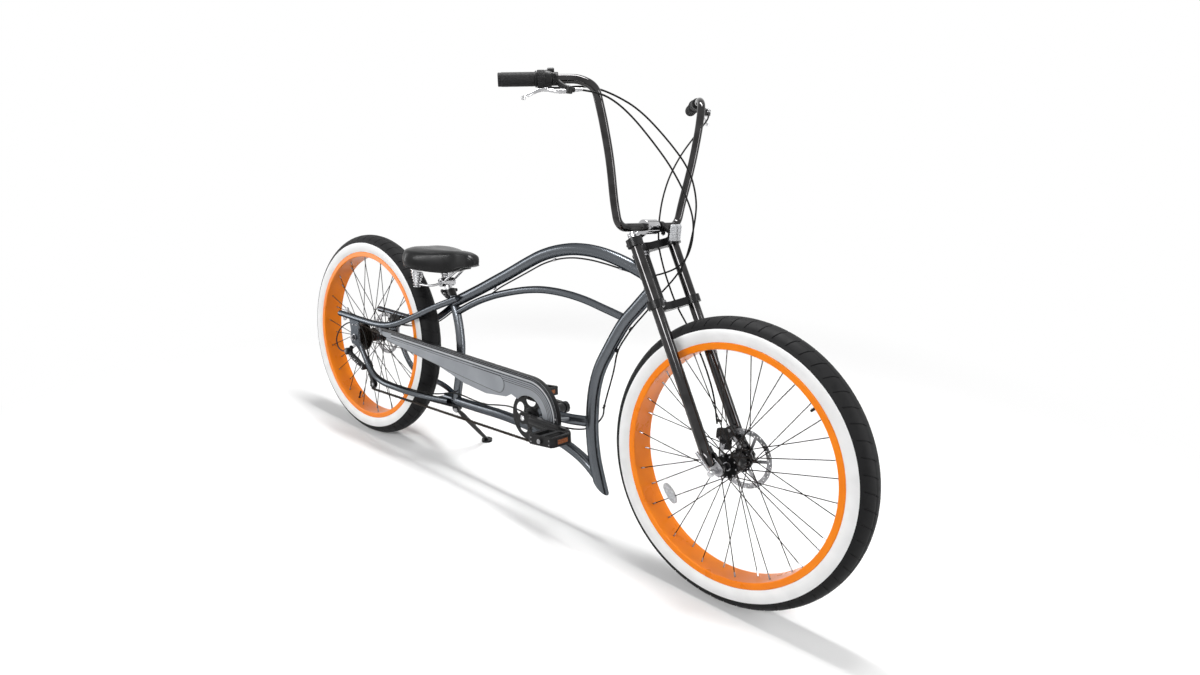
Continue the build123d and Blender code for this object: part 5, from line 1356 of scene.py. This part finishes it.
addTurned(dark, knuckle, -sideways, derailleur["knuckle"], 30)
addBolt(metal, knuckle + mm(0, -2.4, 0), -sideways, 4.4, 3.2)
addTurned(dark, guideAt, -sideways, derailleur["guideCap"], 28)
addBolt(metal, guideAt + mm(0, -2.4, 0), -sideways, 3.6, 2.8)
linkFrom, linkTo = guideAt + mm(0, 6, 0), knuckle + mm(0, 8, 0)
for lift in (-derailleur["linkLift"], derailleur["linkLift"]):
    ends = (linkFrom + mm(0, 0, lift), linkTo + mm(0, 0, lift))
    line = smoothLine([ends[0], linkFrom.lerp(linkTo, 0.5) + mm(0, -3, lift), ends[1]], 5)
    addWire(dark, line, derailleur["linkRadius"], 10, flat=0.7)
coil = []
first, second = crossAxes((linkTo - linkFrom).normalized())
for k in range(derailleur["springTurns"] * 14 + 1):  # the return spring between the links
    share = k / (derailleur["springTurns"] * 14)
    u, v = onCircle((0, 0), derailleur["springRadius"], 2 * pi * derailleur["springTurns"] * share)
    coil.append(linkFrom.lerp(linkTo, 0.2 + 0.6 * share) + first * u + second * v - sideways * 0.0095)
addWire(metal, coil, derailleur["springWire"], 6)
addTurned(metal, derailleur["barrelAt"], (1, 0, 0.05), derailleur["barrel"], 16)
addPiece("derailleurLinks", dark, "frame", "blackPaint", 40)
addPiece("derailleurBolts", metal, "frame", "steel", 40)

# dropouts and sprockets: fixing screws, the hanger's bolt, the lock ring and the spacers
rearEnd = {
    "screws": ((-12, 46), (14, 50)), "screwSide": 90.5, "lockSide": -65.5, "spacers": 6, "spacerSide": -49.5,
    "lockRing": [(0, 17.5), (1.2, 18.5), (3, 18.5), (3.8, 17.2), (3.8, 13)],
    "spacer": [(0, 21.5), (2.6, 21.5)],
}
build = bmesh.new()
for side in (-1, 1):
    for x, z in rearEnd["screws"]:
        addBolt(build, rearAxle + mm(x, side * rearEnd["screwSide"], z), sideways * side, 2.8, 2.2)
addBolt(build, hanger + mm(-4, -rearEnd["screwSide"], 4), -sideways, 4.2, 3)
addPiece("dropoutScrews", build, "frame", "steel")
build = bmesh.new()
addTurned(build, rearAxle + mm(0, rearEnd["lockSide"], 0), -sideways, rearEnd["lockRing"], 36)
for index in range(rearEnd["spacers"]):
    addTurned(build, rearAxle + mm(0, rearEnd["spacerSide"] - index * 5, 0), -sideways, rearEnd["spacer"], 36)
addPiece("sprocketSpacers", build, "rear_wheel", "darkSteel")
print("rear end dressed")

# seat post clamp: a split collar with its bolt and lever, and the nuts and spring cups under the saddle
seat = {
    "top": (0.441, 0, 0.624), "clampReach": 0.035,
    "collar": [(0, 19.2), (1, 20.4), (23.5, 20.4), (24.5, 19.2), (24.5, 15.8)],
    "boss": [(0, 5.2), (1, 6.2), (6, 6.2), (7, 5)],
    "lever": ((-4, -31, 3), (6, -34, -4), (26, -36, -10), (42, -34, -11)),
    "washer": [(0, 13.5), (1, 14.2), (1.8, 14.2), (2.6, 12.5)], "nut": [(0, 7.8), (5.2, 7.8), (6.2, 6.5)],
    "stud": [(0, 3.8), (3, 3.8), (3.6, 3)],
    "cups": ((0.691, -1, 23.8), (0.6275, 1, 11.5)),  # height, way it faces and radius
}
seatTop = Vector(seat["top"])
postRun = Vector((-18, 0, 30)).normalized()
clampAt = seatTop + postRun * seat["clampReach"]
collar, nuts = bmesh.new(), bmesh.new()
addTurned(collar, seatTop - postRun * 0.0185, postRun, seat["collar"], 40)
for side in (-1, 1):
    outward = sideways * side
    addTurned(collar, seatTop + mm(-4, side * 26, 3), outward, seat["boss"], 16)
    addTurned(nuts, clampAt + outward * 0.026, outward, seat["washer"])
    addTurned(nuts, clampAt + outward * 0.0286, outward, seat["nut"], 6)
    addTurned(nuts, clampAt + outward * 0.0345, outward, seat["stud"], 14)
    for height, way, radius in seat["cups"]:
        cup = [(0, radius), (0.8, radius + 0.8), (3.2, radius + 0.8), (4, radius - 0.5)]
        addTurned(nuts, Vector((springs["back"], side * springs["side"], height)), upward * way, cup)
line = smoothLine([seatTop + mm(*point) for point in seat["lever"]], 5)
addWire(collar, line, [0.0042] * 5 + [0.0036] * 5 + [0.0044] * 5 + [0.0036], 10, flat=0.7)
addPiece("seatCollar", collar, "frame", "blackPaint", 40)
addPiece("saddleClampNuts", nuts, "frame", "chrome", 40)

stand = {
    "pivot": (0.462, 0.038, 0.205), "axis": (-0.356, 0.894, 0.273),
    "head": [(0, 8.8), (1, 9.2), (3.6, 9.2), (4.6, 8)], "washer": [(0, 9.2), (1.2, 9.2), (2, 7.8)],
}
pivot, standAxis = Vector(stand["pivot"]), Vector(stand["axis"]).normalized()
build = bmesh.new()
addTurned(build, pivot - standAxis * 0.0134, -standAxis, stand["head"], 6)
addTurned(build, pivot + standAxis * 0.012, standAxis, stand["washer"], 28)
addPiece("standBolt", build, "frame", "steel")
print("seat and stand dressed")

# weld beads: where one tube's surface meets another, a small rippled fillet
weld = {"radius": 0.0024, "ripple": 0.00035, "ripples": 18, "steps": 56}
joins = (  # a point on the joining tube's axis, its run, its radius, then the same for the other tube
    ((1.282, 0, 0.814), (1.0, 0, -0.29), 0.018, headTop, headRun, 0.021),
    ((1.303, 0, 0.778), (0.63, 0, 0.77), 0.019, headTop, headRun, 0.021),
    ((0.500, 0, 0.248), (0.1, 0, -1.0), 0.015, (0.444, 0, 0.246), (1, 0, 0.045), 0.016),
    ((1.174, 0, 0.352), (1, 0, 0.03), 0.016, (1.127, 0, 0.36), (0.02, 0, 1), 0.019),
)


def meetTube(start, run, tubeAt, tubeRun, tubeRadius):
    # how far along its run a line first meets a round tube
    gap = start - tubeAt
    across = run - tubeRun * run.dot(tubeRun)
    offset = gap - tubeRun * gap.dot(tubeRun)
    square, twice = across.dot(across), 2 * across.dot(offset)
    rest = offset.dot(offset) - tubeRadius**2
    return (-twice - sqrt(twice * twice - 4 * square * rest)) / (2 * square)


build = bmesh.new()
for at, run, radius, otherAt, otherRun, otherRadius in joins:
    run, otherRun = Vector(run).normalized(), Vector(otherRun).normalized()
    ring = aroundPoint(Vector(at) - run * 0.1, *crossAxes(run), radius, weld["steps"])
    ring = [point + run * meetTube(point, run, Vector(otherAt), otherRun, otherRadius) for point in ring]
    turns = [2 * pi * k / weld["steps"] for k in range(weld["steps"])]
    sizes = [weld["radius"] + weld["ripple"] * sin(weld["ripples"] * turn) for turn in turns]
    addWire(build, ring, sizes, 8, closed=True)
addPiece("weldBeads", build, "frame", "framePaint", 60)
print("welds made")

# down tube: drawn whole, its free end cut in line with the bottom tube's lower edge
downTube = {
    "radius": 0.019, "steps": 40, "headRadius": 0.0203, "headReach": 0.035, "cutGap": 0.004,
    "line": ((1.303, 0.778), (1.257, 0.722), (1.212, 0.665), (1.167, 0.58), (1.138, 0.514), (1.125, 0.446),
             (1.125, 0.371), (1.133, 0.303), (1.152, 0.232), (1.187, 0.15)),
    "tip": (1.2055, 0, 0.1485), "cut": (0.83, 0, -0.557),
}


def makeDownTube():
    line = smoothLine([(x, 0, z) for x, z in downTube["line"]], 7)
    rings = []
    for before, point, after in zip(line[:1] + line, line, line[1:] + line[-1:]):
        across = sideways.cross((after - before).normalized()).normalized()
        rings.append(aroundPoint(point, sideways, across, downTube["radius"], downTube["steps"]))
    reach = downTube["headReach"]
    first = next(index for index, point in enumerate(line) if (point - line[0]).length > reach)
    run = (line[first] - line[first + 1]).normalized()
    tube = (headTop, headRun, downTube["headRadius"])
    # back along the tube to just under the head tube's surface
    start = [point + run * meetTube(point, run, *tube) for point in rings[first]]
    cutRun, tip = Vector(downTube["cut"]).normalized(), Vector(downTube["tip"])
    normal = Vector((cutRun.z, 0, -cutRun.x))
    above = [all((point - tip).dot(normal) < -downTube["cutGap"] for point in ring) for ring in rings]
    last = max(index for index, clear in enumerate(above) if clear)
    run = (line[-1] - line[-3]).normalized()
    end = [point + run * ((tip - point).dot(normal) / run.dot(normal)) for point in rings[last]]
    lip = [point.lerp(tip - cutRun * 0.018, 0.06) + normal * 0.0006 for point in end]
    build = bmesh.new()
    addRings(build, [start] + rings[first:last + 1] + [end, lip])
    piece = addPiece("downTubeSkin", build, "frame", "framePaint", 45)
    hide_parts("down_tube")


makeDownTube()
print("down tube made")
